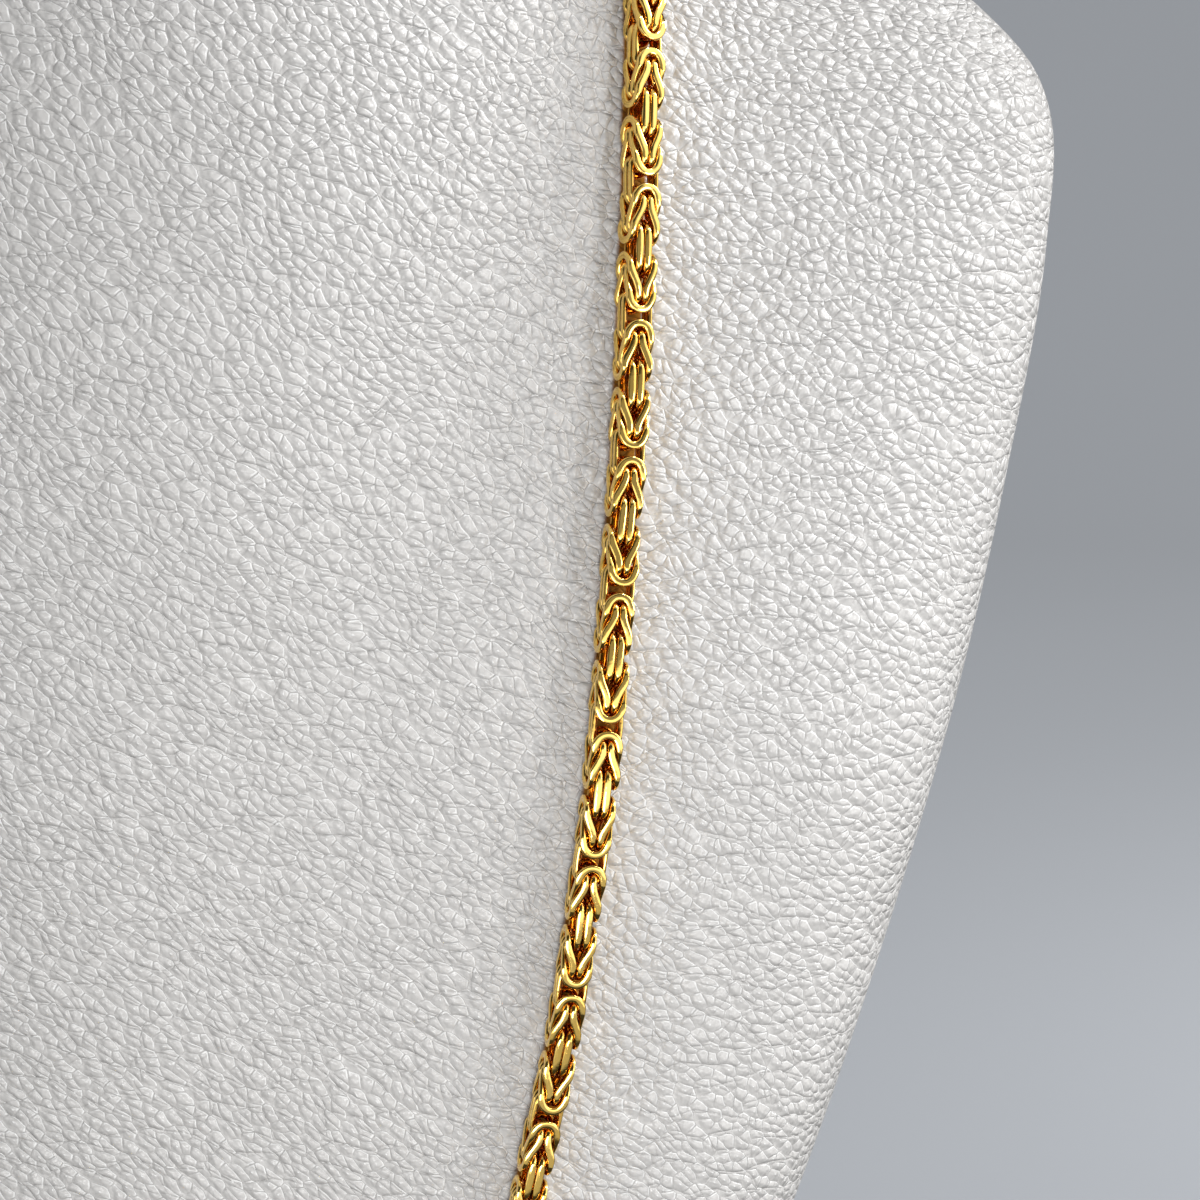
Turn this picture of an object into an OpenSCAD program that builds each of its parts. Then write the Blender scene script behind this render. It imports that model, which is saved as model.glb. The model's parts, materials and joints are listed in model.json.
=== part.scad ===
// A byzantine chain, closed by a lobster clasp at the nape, on a leatherette neck bust.
// Millimetres, +Z up, front towards -Y, +X to the viewer's right, origin on the foot, in the middle of the outer box.

/* [Bust] */
// Height of the whole bust
bust_h = 300; // [270:1:330]
// Width of the body across the shoulders, to which the blend with the neck adds about 4%
shoulder_w = 179; // [168:1:192]
// Width of the body at its foot
foot_w = 86; // [78:1:96]
// Depth of the chest in front of the side edges
chest_d = 30; // [26:0.5:34]
// Depth of the back behind the side edges
back_d = 36; // [31:0.5:41]
// How far the neck stands behind the middle of the foot
lean_d = 12; // [8:0.5:16]
// Width of the neck
neck_w = 90; // [84:1:98]
// Depth of the neck from front to back
neck_d = 84; // [78:1:92]
// Radius of the rim round the top of the neck
rim_r = 4; // [2:0.5:6]
// Radius of the edge round the foot
foot_r = 2.5; // [1:0.5:4]

/* [Chain] */
// Width of the square chain across its planed faces
chain_w = 2.8; // [2.2:0.1:3]
// Cut corner of the chain's square section, where the rings are round
chain_corner = 0.5; // [0.3:0.05:0.7]
// Gap between the chain and the bust
seat_gap = 0.3; // [0.25:0.05:0.5]

/* [Clasp] */
// Length of the clasp from the middle of one ring's seat to the other's
clasp_l = 9; // [8:0.5:12]
// Width of the clasp at its widest
clasp_w = 5.6; // [5:0.1:6.4]
// Thickness of the clasp's body
clasp_t = 2.4; // [2:0.1:3]
// Thickness of the clasp's two ends and of the end caps' eyes
eye_t = 0.8; // [0.6:0.1:1]
// Wire of the jump rings
ring_wire = 0.7; // [0.6:0.05:0.8]
// Radius of the jump rings, to the middle of their wire
ring_r = 1.5; // [1.4:0.05:1.7]
// How far the jump rings lean round the neck, in degrees
ring_lean = 12; // [8:1:16]
// Length of an end cap's square socket
cap_l = 4; // [3:0.5:6]
// Wall of an end cap round the chain
cap_wall = 0.25; // [0.2:0.05:0.4]
// Height of the jump rings' lowest point above the neck
ring_gap = 0.3; // [0.2:0.05:0.6]

/* [Hidden] */

// Columns of SECTIONS, the bust's level sections from foot to neck.
// UP is a share of bust_h. WIDE is 0 at foot_w and 1 at shoulder_w. FRONT, BACK and LEAN are shares of
// chest_d, back_d and lean_d. NECK_WIDE, NECK_FRONT and NECK_BACK are shares of half of neck_w and neck_d.
// SQUARE is the power of the body's oval, where 2 is an ellipse.
UP = 0;
WIDE = 1;
FRONT = 2;
BACK = 3;
LEAN = 4;
NECK_WIDE = 5;
NECK_FRONT = 6;
NECK_BACK = 7;
SQUARE = 8;
SECTIONS = [
    [0.00, 0.00, 1.10, 1.05, 0.00, 0.25, 0.25, 0.25, 2.4],
    [0.06, 0.03, 1.10, 1.00, 0.00, 0.28, 0.28, 0.28, 2.4],
    [0.12, 0.10, 1.08, 0.98, 0.00, 0.32, 0.30, 0.30, 2.4],
    [0.20, 0.22, 1.02, 0.95, -0.06, 0.38, 0.38, 0.36, 2.5],
    [0.30, 0.44, 0.92, 0.93, -0.20, 0.50, 0.48, 0.45, 2.6],
    [0.41, 0.68, 0.84, 0.90, -0.35, 0.68, 0.62, 0.55, 2.6],
    [0.52, 0.875, 0.88, 0.85, -0.30, 0.88, 0.82, 0.65, 2.4],
    [0.60, 0.965, 0.87, 0.80, 0.00, 1.06, 1.00, 0.74, 2.1],
    [0.67, 1.00, 0.78, 0.72, 0.42, 1.25, 1.12, 0.80, 2.0],
    [0.72, 0.95, 0.67, 0.64, 0.67, 1.33, 1.15, 0.84, 2.0],
    [0.76, 0.65, 0.57, 0.56, 0.83, 1.31, 1.12, 0.88, 2.0],
    [0.80, 0.35, 0.50, 0.47, 0.92, 1.22, 1.07, 0.93, 2.0],
    [0.84, 0.03, 0.40, 0.36, 1.00, 1.11, 1.02, 0.96, 2.0],
    [0.89, -0.30, 0.30, 0.25, 1.00, 1.03, 0.98, 0.98, 2.0],
    [0.94, -0.50, 0.20, 0.17, 0.92, 1.00, 0.99, 0.99, 2.0],
    [1.00, -0.60, 0.17, 0.14, 0.83, 1.02, 1.03, 1.03, 2.0]
];
// Power that blends the neck's ellipse into the body's oval
blend = 4;

// The chain's route on one half of the bust, from the middle of the chest to the nape.
// Columns: turn round the bust from the front in degrees, height as a share of bust_h.
ROUTE = [
    [0, 0.114],
    [24.6, 0.132],
    [40.9, 0.169],
    [50.9, 0.215],
    [57.4, 0.264],
    [61.7, 0.314],
    [64.6, 0.366],
    [66.8, 0.428],
    [67.2, 0.490],
    [67.3, 0.553],
    [67.3, 0.615],
    [66.6, 0.677],
    [66.9, 0.722],
    [69.4, 0.761],
    [74.2, 0.796],
    [80.3, 0.823],
    [88.3, 0.844],
    [99.3, 0.857],
    [114.5, 0.867],
    [132.5, 0.873],
    [147.5, 0.876]
];
// Height of the clasp, as a share of bust_h
nape_up = 0.878;

// Points round each of the bust's levels
around = 52;
// Even levels of the bust from foot to rim, closer where the neck meets the shoulders.
// Columns: top of the band as a share of the height between the rounded edges, levels in it.
BANDS = [[0, 0], [0.76, 30], [0.90, 16], [1, 6]];
// Steps of the rounded foot and rim
edge_steps = 4;
// Sections of the chain's tube between two points of the route
steps = 2;
// A small turn in degrees, a small height and a small step of the route, for finding slopes
small_turn = 0.05;
small_rise = 0.05;
small_step = 0.05;
// Turns between which the chain's end is looked for, and how often that range is halved
end_low = 145;
end_high = 178;
halvings = 24;
// Smallest gap between two pieces of metal that touch on the real thing
metal_gap = 0.1;

// Room round a ring's wire in an eye and in the claw, and the metal round them
eye_room = 0.45;
eye_wall = 0.5;
claw_room = 0.4;
claw_wall = 0.7;
eye_hole = ring_wire / 2 + eye_room;
eye_r = eye_hole + eye_wall;
claw_hole = ring_wire / 2 + claw_room;
// Sides of large and small circles
fine = 48;
plain = 32;

// Smooth value of one column of SECTIONS at a height share, through every row.
function last_row() = len(SECTIONS) - 1;
function row_at(u, i = 0) = i >= last_row() - 1 || u < SECTIONS[i + 1][UP] ? i : row_at(u, i + 1);
function slope(i, col) =
    let(a = max(i - 1, 0), b = min(i + 1, last_row()))
    (SECTIONS[b][col] - SECTIONS[a][col]) / (SECTIONS[b][UP] - SECTIONS[a][UP]);
function hermite(a, b, sa, sb, t) =
    (2 * t * t * t - 3 * t * t + 1) * a + (t * t * t - 2 * t * t + t) * sa
    + (3 * t * t - 2 * t * t * t) * b + (t * t * t - t * t) * sb;
function share(u, col) =
    let(i = row_at(u), span = SECTIONS[i + 1][UP] - SECTIONS[i][UP], t = (u - SECTIONS[i][UP]) / span)
    hermite(SECTIONS[i][col], SECTIONS[i + 1][col], slope(i, col) * span, slope(i + 1, col) * span, t);

// Columns of section(), all lengths from the section's middle: the body's oval, its place and the neck's ellipse.
BODY_X = 0;
BODY_FRONT = 1;
BODY_BACK = 2;
MIDDLE_Y = 3;
NECK_X = 4;
NECK_FRONT_Y = 5;
NECK_BACK_Y = 6;
POWER = 7;
function section(z) =
    let(u = z / bust_h)
    [
        (foot_w + (shoulder_w - foot_w) * share(u, WIDE)) / 2,
        chest_d * share(u, FRONT),
        back_d * share(u, BACK),
        lean_d * share(u, LEAN),
        neck_w / 2 * share(u, NECK_WIDE),
        neck_d / 2 * share(u, NECK_FRONT),
        neck_d / 2 * share(u, NECK_BACK),
        share(u, SQUARE)
    ];

// How far the rounded foot and rim draw the surface in at height z.
function round_in(depth, r) = depth > 0 ? r - sqrt(max(r * r - depth * depth, 0)) : 0;
function drawn_in(z) = round_in(foot_r - z, foot_r) + round_in(z - bust_h + rim_r, rim_r);

// Distance from the middle of section s to the surface in the plan direction d.
function reach(s, z, d) =
    let(
        p = s[POWER],
        body_y = d.y < 0 ? s[BODY_FRONT] : s[BODY_BACK],
        neck_y = d.y < 0 ? s[NECK_FRONT_Y] : s[NECK_BACK_Y],
        body = pow(pow(abs(d.x) / s[BODY_X], p) + pow(abs(d.y) / body_y, p), -1 / p),
        neck = 1 / norm([d.x / s[NECK_X], d.y / neck_y])
    )
    pow(pow(body, blend) + pow(neck, blend), 1 / blend) - drawn_in(z);
function raw_y(z, side) = let(s = section(z)) s[MIDDLE_Y] + side * reach(s, z, [0, side]);

// The clasp lies across the nape, and the jump rings clear the neck by ring_gap.
clasp_z = nape_up * bust_h;
nape_y = raw_y(clasp_z, 1);
ring_out = ring_gap + 2 * ring_r + ring_wire;

// Heights of the bust's rings: the rounded foot, the even levels and the rounded rim.
foot_levels = [for (k = [0:edge_steps - 1]) foot_r * (1 - cos(90 * k / edge_steps))];
even_levels = [
    for (b = [1:len(BANDS) - 1])
        for (k = [(b == 1 ? 0 : 1):BANDS[b][1]])
            let(low = BANDS[b - 1][0], high = BANDS[b][0])
            foot_r + (bust_h - rim_r - foot_r) * (low + (high - low) * k / BANDS[b][1])
];
rim_levels = [for (k = [edge_steps - 1:-1:0]) bust_h - rim_r * (1 - cos(90 * k / edge_steps))];

// The origin is midway between the chest's front and the jump rings' back.
stand_y = (min([for (z = even_levels) raw_y(z, -1)]) + nape_y + ring_out) / 2;
function skin_in(s, z, d) = let(r = reach(s, z, d)) [r * d.x, s[MIDDLE_Y] + r * d.y - stand_y, z];

// The bust's surface at a turn from the front, its outward normal, and the chain's middle above it.
function skin(turn, z) = skin_in(section(z), z, [sin(turn), -cos(turn)]);
function unit(v) = v / norm(v);
function outward(turn, z) =
    unit(cross(
        skin(turn + small_turn, z) - skin(turn - small_turn, z),
        skin(turn, z + small_rise) - skin(turn, z - small_rise)
    ));
function seat(row) =
    let(z = row[1] * bust_h)
    skin(row[0], z) + (chain_w / 2 + seat_gap) * outward(row[0], z);

// The jump rings' seats in the clasp and in the caps' eyes
clasp_y = nape_y + ring_out / 2 + ring_gap / 2 - stand_y;
clasp_end = [clasp_l / 2, clasp_y, clasp_z];
cap_eye = clasp_end + 2 * ring_r * [cos(ring_lean), -sin(ring_lean), 0];
// From the middle of a cap's eye to the end of the chain in its socket
cap_reach = eye_r - eye_wall / 2 + cap_l + metal_gap;

// The chain ends where it is cap_reach from the cap's eye, found by halving.
function end_turn(low, high, n) =
    let(mid = (low + high) / 2, far = norm(seat([mid, nape_up]) - cap_eye) > cap_reach)
    n == 0 ? mid : (far ? end_turn(mid, high, n - 1) : end_turn(low, mid, n - 1));
route = concat(ROUTE, [[end_turn(end_low, end_high, halvings), nape_up]]);
route_end = len(route) - 1;

// The route over both halves, from -route_end at the left to route_end at the right.
function route_row(i) =
    abs(i) > route_end ? 2 * route_row(sign(i) * route_end) - route_row(sign(i) * (route_end - 1))
    : (i < 0 ? [-route[-i][0], route[-i][1]] : route[i]);
function between(a, b, c, d, t) =
    (2 * b + (c - a) * t + (2 * a - 5 * b + 4 * c - d) * t * t + (3 * b - a - 3 * c + d) * t * t * t) / 2;
function route_at(v) =
    let(i = min(floor(v), route_end - 1))
    between(route_row(i - 1), route_row(i), route_row(i + 1), route_row(i + 2), v - i);
function middle(v) = seat(route_at(v));

// The chain's direction at v. At its two ends it points straight at the caps' eyes.
function along(v) =
    v >= route_end ? unit(cap_eye - middle(v))
    : v <= -route_end ? unit(middle(v) - [-cap_eye.x, cap_eye.y, cap_eye.z])
    : unit(middle(v + small_step) - middle(v - small_step));
function lifted(v) = let(q = route_at(v)) outward(q[0], q[1] * bust_h);
function squared(v, t) = unit(lifted(v) - (lifted(v) * t) * t);

// The square section with cut corners, as [across, up] from the chain's middle.
function chain_section() =
    let(h = chain_w / 2, c = h - chain_corner)
    [[h, -c], [h, c], [c, h], [-c, h], [-h, c], [-h, -c], [-c, -h], [c, -h]];

// A solid through rings of n points each, from the first ring to the last.
module lofted(rings) {
    n = len(rings[0]);
    m = len(rings);
    sides = [
        for (i = [0:m - 2])
            for (k = [0:n - 1])
                [i * n + k, i * n + (k + 1) % n, (i + 1) * n + (k + 1) % n, (i + 1) * n + k]
    ];
    first = [for (k = [n - 1:-1:0]) k];
    last = [for (k = [0:n - 1]) (m - 1) * n + k];
    polyhedron(
        points = [for (ring = rings) each ring],
        faces = [for (face = concat(sides, [first, last])) [for (k = [len(face) - 1:-1:0]) face[k]]],
        convexity = 10
    );
}

// One level of the bust, with its points spread evenly round the oval.
function bust_ring(z) =
    let(s = section(z))
    [
        for (k = [0:around - 1])
            let(
                a = 360 * k / around,
                front = abs(a - 180) > 90,
                wide = norm([s[BODY_X], s[NECK_X]]),
                deep = norm(front ? [s[BODY_FRONT], s[NECK_FRONT_Y]] : [s[BODY_BACK], s[NECK_BACK_Y]])
            )
            skin_in(s, z, unit([wide * sin(a), -deep * cos(a)]))
    ];

module neck_bust() {
    color([0.89, 0.88, 0.86])
        lofted([for (z = concat(foot_levels, even_levels, rim_levels)) bust_ring(z)]);
}

module chain() {
    rings = [
        for (k = [-route_end * steps:route_end * steps])
            let(v = k / steps, t = along(v), up = squared(v, t), across = cross(up, t))
            [for (q = chain_section()) middle(v) + q[0] * across + q[1] * up]
    ];
    color("gold")
        lofted(rings);
}

// A piece built along +X from the end of the chain, with +Z away from the neck, put in its place.
module at_chain_end() {
    t = along(route_end);
    up = squared(route_end, t);
    across = cross(up, t);
    p = middle(route_end) + metal_gap * t;
    multmatrix([
        [t.x, across.x, up.x, p.x],
        [t.y, across.y, up.y, p.y],
        [t.z, across.z, up.z, p.z],
        [0, 0, 0, 1]
    ])
        children();
}

// A square socket with chamfered edges, and the eye that a jump ring passes through.
module end_cap() {
    side = chain_w + 2 * cap_wall;
    eye_x = cap_reach - metal_gap;
    difference() {
        union() {
            rotate([90, 0, 90])
                linear_extrude(cap_l)
                    square(side - 2 * cap_wall, center = true);
            rotate([90, 0, 90])
                linear_extrude(cap_l - cap_wall)
                    square([side, side - 2 * cap_wall], center = true);
            rotate([90, 0, 90])
                linear_extrude(cap_l - cap_wall)
                    square([side - 2 * cap_wall, side], center = true);
            translate([eye_x, 0, 0])
                cylinder(h = eye_t, r = eye_r, center = true, $fn = fine);
        }
        translate([eye_x, 0, 0])
            cylinder(h = 2 * eye_t, r = eye_hole, center = true, $fn = fine);
    }
}

module end_cap_right() {
    color("gold")
        at_chain_end()
            end_cap();
}

module end_cap_left() {
    color("gold")
        mirror([1, 0, 0])
            at_chain_end()
                end_cap();
}

// A jump ring stands on edge between the cap's eye and the clasp.
module jump_ring() {
    translate((clasp_end + cap_eye) / 2)
        rotate_extrude($fn = fine)
            translate([ring_r, 0])
                circle(d = ring_wire, $fn = plain);
}

module jump_ring_right() {
    color("gold")
        jump_ring();
}

module jump_ring_left() {
    color("gold")
        mirror([1, 0, 0])
            jump_ring();
}

// The clasp's outline from behind: a claw round its hole, a neck and the tail's eye.
module clasp_outline() {
    claw_r = clasp_w / 2;
    claw_x = clasp_l / 2 + claw_hole + claw_wall - claw_r;
    difference() {
        union() {
            hull() {
                translate([claw_x, 0])
                    circle(r = claw_r, $fn = fine);
                translate([-clasp_l / 2 + 2 * eye_r, 0])
                    circle(r = eye_r, $fn = plain);
            }
            translate([-clasp_l / 2, 0])
                circle(r = eye_r, $fn = plain);
            translate([-clasp_l / 2, -eye_wall])
                square([2 * eye_r, 2 * eye_wall]);
        }
        translate([-clasp_l / 2, 0])
            circle(r = eye_hole, $fn = plain);
        hull() {
            translate([clasp_l / 2, 0])
                circle(r = claw_hole, $fn = plain);
            translate([claw_x - claw_wall, 0])
                circle(r = claw_r - 2 * claw_wall, $fn = plain);
        }
    }
}

// The clasp's side: thick in the middle, and as thin as an eye where the rings pass.
module clasp_side() {
    hull() {
        square([clasp_l / 3, clasp_t], center = true);
        square([clasp_l - 2 * eye_hole, eye_t], center = true);
    }
    square([clasp_l + 4 * eye_r, eye_t], center = true);
}

module clasp() {
    color("gold")
        translate([0, clasp_y, clasp_z])
            intersection() {
                rotate([90, 0, 0])
                    linear_extrude(2 * clasp_t, center = true)
                        clasp_outline();
                linear_extrude(2 * clasp_w, center = true)
                    clasp_side();
            }
}

neck_bust();
chain();
end_cap_left();
end_cap_right();
jump_ring_left();
jump_ring_right();
clasp();
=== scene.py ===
"""A byzantine chain on its neck bust: finishes, fine meshes, studio light and camera.

Every length is in metres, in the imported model's own frame: +Z up, front towards -Y.
"""

import json
import logging
import math
import sys
from dataclasses import dataclass, field
from enum import Enum, IntEnum

import bmesh
import bpy
import numpy as np
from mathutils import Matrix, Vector
from mathutils.kdtree import KDTree

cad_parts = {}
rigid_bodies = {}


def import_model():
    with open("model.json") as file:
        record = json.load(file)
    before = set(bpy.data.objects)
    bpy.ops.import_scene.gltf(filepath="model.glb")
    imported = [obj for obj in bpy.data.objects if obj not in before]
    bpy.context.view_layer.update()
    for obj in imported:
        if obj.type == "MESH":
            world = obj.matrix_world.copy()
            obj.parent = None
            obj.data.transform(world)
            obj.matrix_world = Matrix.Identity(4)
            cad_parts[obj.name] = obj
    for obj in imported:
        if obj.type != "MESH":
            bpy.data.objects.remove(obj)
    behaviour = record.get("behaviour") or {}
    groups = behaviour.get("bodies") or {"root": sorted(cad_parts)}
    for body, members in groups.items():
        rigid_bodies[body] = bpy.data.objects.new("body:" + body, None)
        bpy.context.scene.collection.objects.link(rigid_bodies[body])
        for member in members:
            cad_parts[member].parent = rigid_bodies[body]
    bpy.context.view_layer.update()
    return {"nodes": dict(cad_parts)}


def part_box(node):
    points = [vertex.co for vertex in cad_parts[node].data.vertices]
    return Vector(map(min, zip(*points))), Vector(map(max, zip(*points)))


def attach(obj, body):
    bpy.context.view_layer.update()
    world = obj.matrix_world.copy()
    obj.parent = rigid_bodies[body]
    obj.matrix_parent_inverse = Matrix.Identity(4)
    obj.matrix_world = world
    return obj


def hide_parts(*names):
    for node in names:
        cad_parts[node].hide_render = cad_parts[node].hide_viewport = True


LOG = logging.getLogger("byzantine_chain")
ROOT_BODY = "root"
COVER_MAP = "cover"
BESIDE_CHAIN = "beside_chain"
NEAR_CHAIN = "near_chain"
# Name of the attribute that carries the painted shade on the metal deep inside the chain
INNER_SHADE = "inward"

Colour = tuple[float, float, float, float]
Span = tuple[float, float]


class Slot(Enum):
    """The two finishes that the record names."""

    GOLD = "gold"
    LEATHERETTE = "leatherette"


class CellFeature(Enum):
    """What the cells of pebbles and creases measure."""

    TO_EDGE = "DISTANCE_TO_EDGE"
    TO_MIDDLE = "F1"


class Column(IntEnum):
    """Columns of LEVELS, as the bust's table in the source has them."""

    UP = 0
    WIDE = 1
    FRONT = 2
    BACK = 3
    LEAN = 4
    NECK_WIDE = 5
    NECK_FRONT = 6
    NECK_BACK = 7
    SQUARE = 8


# The bust's level sections from foot to neck, as shares of its sizes, in the columns above
LEVELS = np.array([
    [0.00, 0.00, 1.10, 1.05, 0.00, 0.25, 0.25, 0.25, 2.4],
    [0.06, 0.03, 1.10, 1.00, 0.00, 0.28, 0.28, 0.28, 2.4],
    [0.12, 0.10, 1.08, 0.98, 0.00, 0.32, 0.30, 0.30, 2.4],
    [0.20, 0.22, 1.02, 0.95, -0.06, 0.38, 0.38, 0.36, 2.5],
    [0.30, 0.44, 0.92, 0.93, -0.20, 0.50, 0.48, 0.45, 2.6],
    [0.41, 0.68, 0.84, 0.90, -0.35, 0.68, 0.62, 0.55, 2.6],
    [0.52, 0.875, 0.88, 0.85, -0.30, 0.88, 0.82, 0.65, 2.4],
    [0.60, 0.965, 0.87, 0.80, 0.00, 1.06, 1.00, 0.74, 2.1],
    [0.67, 1.00, 0.78, 0.72, 0.42, 1.25, 1.12, 0.80, 2.0],
    [0.72, 0.95, 0.67, 0.64, 0.67, 1.33, 1.15, 0.84, 2.0],
    [0.76, 0.65, 0.57, 0.56, 0.83, 1.31, 1.12, 0.88, 2.0],
    [0.80, 0.35, 0.50, 0.47, 0.92, 1.22, 1.07, 0.93, 2.0],
    [0.84, 0.03, 0.40, 0.36, 1.00, 1.11, 1.02, 0.96, 2.0],
    [0.89, -0.30, 0.30, 0.25, 1.00, 1.03, 0.98, 0.98, 2.0],
    [0.94, -0.50, 0.20, 0.17, 0.92, 1.00, 0.99, 0.99, 2.0],
    [1.00, -0.60, 0.17, 0.14, 0.83, 1.02, 1.03, 1.03, 2.0],
])

# The chain's route on the right half: turn round the bust in degrees, height as a share of the bust's
ROUTE = (
    (0, 0.114),
    (24.6, 0.132),
    (40.9, 0.169),
    (50.9, 0.215),
    (57.4, 0.264),
    (61.7, 0.314),
    (64.6, 0.366),
    (66.8, 0.428),
    (67.2, 0.490),
    (67.3, 0.553),
    (67.3, 0.615),
    (66.6, 0.677),
    (66.9, 0.722),
    (69.4, 0.761),
    (74.2, 0.796),
    (80.3, 0.823),
    (88.3, 0.844),
    (99.3, 0.857),
    (114.5, 0.867),
    (132.5, 0.873),
    (147.5, 0.876),
)
NAPE_UP = 0.878


def unit(vectors: np.ndarray) -> np.ndarray:
    """Return the vectors at length one."""
    return vectors / np.linalg.norm(vectors, axis=-1, keepdims=True)


def new_object(name: str, mesh: bpy.types.Mesh) -> bpy.types.Object:
    """Link a new object that holds a mesh.

    Args:
        name: Name of the object.
        mesh: Its mesh.

    Returns:
        The object, at the origin.
    """
    made = bpy.data.objects.new(name, mesh)
    bpy.context.scene.collection.objects.link(made)
    return made


def grid_faces(rows: int, columns: int, closed: bool) -> list[tuple[int, int, int, int]]:
    """List the quads of a grid whose columns run round a closed ring.

    Args:
        rows: Number of rings.
        columns: Points in each ring.
        closed: Whether the last ring joins the first.

    Returns:
        Vertex numbers of each quad.
    """
    last = rows if closed else rows - 1
    return [
        (i * columns + k, i * columns + (k + 1) % columns,
         (i + 1) % rows * columns + (k + 1) % columns, (i + 1) % rows * columns + k)
        for i in range(last)
        for k in range(columns)
    ]


class NodeGraph:
    """Adds nodes to a tree and joins them, for shaders and geometry alike."""

    # Where nodes stand in the editor: how many to a row, and the room for each
    ROW = 12
    ROOM_ACROSS = 220
    ROOM_DOWN = 260

    def __init__(self, tree: bpy.types.NodeTree) -> None:
        """Keep the tree and start at its left edge."""
        self.tree = tree
        self.placed = 0

    def add(self, kind: str, settings: dict | None = None, inputs: dict | None = None) -> bpy.types.Node:
        """Add one node.

        Args:
            kind: The node's type name.
            settings: Properties of the node.
            inputs: Values or output sockets for its inputs, by name or number.

        Returns:
            The new node.
        """
        node = self.tree.nodes.new(kind)
        row, column = divmod(self.placed, self.ROW)
        node.location = (self.ROOM_ACROSS * column, -self.ROOM_DOWN * row)
        self.placed += 1
        for key, value in (settings or {}).items():
            setattr(node, key, value)
        for key, value in (inputs or {}).items():
            self.feed(node.inputs[key], value)
        return node

    def feed(self, socket: bpy.types.NodeSocket, value: object) -> None:
        """Link an output to a socket, or set the socket's own value.

        Args:
            socket: The input socket.
            value: An output socket, or a plain value.
        """
        if isinstance(value, bpy.types.NodeSocket):
            self.tree.links.new(value, socket)
        else:
            socket.default_value = value

    def math(self, operation: str, *values: object) -> bpy.types.NodeSocket:
        """Add a Math node.

        Args:
            operation: Its operation.
            values: Its inputs in order.

        Returns:
            Its result.
        """
        settings = {"operation": operation}
        return self.add("ShaderNodeMath", settings, dict(enumerate(values))).outputs[0]

    def vector(self, operation: str, *values: object) -> bpy.types.NodeSocket:
        """Add a Vector Math node.

        Args:
            operation: Its operation.
            values: Its inputs in order.

        Returns:
            Its number for a dot product, and its vector otherwise.
        """
        node = self.add("ShaderNodeVectorMath", {"operation": operation}, dict(enumerate(values)))
        return node.outputs["Value" if operation == "DOT_PRODUCT" else "Vector"]

    def spread(self, value: object, low: float, high: float, first: float = 0.0,
               last: float = 1.0) -> bpy.types.NodeSocket:
        """Ease a value from one range to another.

        Args:
            value: The value.
            low: Where the range starts.
            high: Where the range ends.
            first: Result at and before the start.
            last: Result at and after the end.

        Returns:
            The eased value.
        """
        settings = {"interpolation_type": "SMOOTHSTEP", "clamp": True}
        inputs = {"Value": value, "From Min": low, "From Max": high, "To Min": first, "To Max": last}
        return self.add("ShaderNodeMapRange", settings, inputs).outputs[0]

    def mix(self, share: object, first: object, last: object) -> bpy.types.NodeSocket:
        """Mix two colours.

        Args:
            share: Share of the last colour.
            first: First colour.
            last: Last colour.

        Returns:
            The mixed colour.
        """
        node = self.add("ShaderNodeMix", {"data_type": "RGBA"})
        self.feed(node.inputs["Factor"], share)
        for socket, value in zip([s for s in node.inputs if s.type == "RGBA"], (first, last)):
            self.feed(socket, value)
        return next(s for s in node.outputs if s.type == "RGBA")


def mottle_group() -> bpy.types.NodeTree:
    """Build the shader group that every finish uses for its uneven colour and its finest grain.

    Returns:
        A group with inputs Vector, Patch size and Grain size, and outputs Patches and Grain.
    """
    tree = bpy.data.node_groups.new("Mottle and grain", "ShaderNodeTree")
    tree.interface.new_socket("Vector", in_out="INPUT", socket_type="NodeSocketVector")
    for name in ("Patch size", "Grain size"):
        tree.interface.new_socket(name, in_out="INPUT", socket_type="NodeSocketFloat")
    for name in ("Patches", "Grain"):
        tree.interface.new_socket(name, in_out="OUTPUT", socket_type="NodeSocketFloat")
    graph = NodeGraph(tree)
    given = graph.add("NodeGroupInput")
    result = graph.add("NodeGroupOutput")
    for name, size, detail in (("Patches", "Patch size", 3.0), ("Grain", "Grain size", 2.0)):
        scale = graph.math("DIVIDE", 1.0, given.outputs[size])
        noise = graph.add("ShaderNodeTexNoise", None,
                          {"Vector": given.outputs["Vector"], "Scale": scale, "Detail": detail})
        graph.feed(result.inputs[name], noise.outputs[0])
    return tree


@dataclass(frozen=True)
class Finish:
    """What every finish has: a name and the group of shared grain."""

    name: str
    shared: bpy.types.NodeTree

    def start(self) -> tuple[NodeGraph, bpy.types.Node, bpy.types.NodeSocket, bpy.types.Material]:
        """Make an empty material.

        Returns:
            Its graph, its Principled shader, its Object coordinates and the material.
        """
        material = bpy.data.materials.new(self.name)
        material.use_nodes = True
        material.node_tree.nodes.clear()
        graph = NodeGraph(material.node_tree)
        shader = graph.add("ShaderNodeBsdfPrincipled")
        graph.add("ShaderNodeOutputMaterial", None, {"Surface": shader.outputs[0]})
        place = graph.add("ShaderNodeTexCoord").outputs["Object"]
        return graph, shader, place, material

    def mottle(self, graph: NodeGraph, place: bpy.types.NodeSocket, patch: float,
               grain: float) -> tuple[bpy.types.NodeSocket, bpy.types.NodeSocket]:
        """Place the shared group with this finish's own sizes.

        Args:
            graph: The material's graph.
            place: Coordinates.
            patch: Size of the patches.
            grain: Size of the grain.

        Returns:
            The patches and the grain, each from 0 to 1.
        """
        inputs = {"Vector": place, "Patch size": patch, "Grain size": grain}
        node = graph.add("ShaderNodeGroup", {"node_tree": self.shared}, inputs)
        return node.outputs["Patches"], node.outputs["Grain"]


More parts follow.
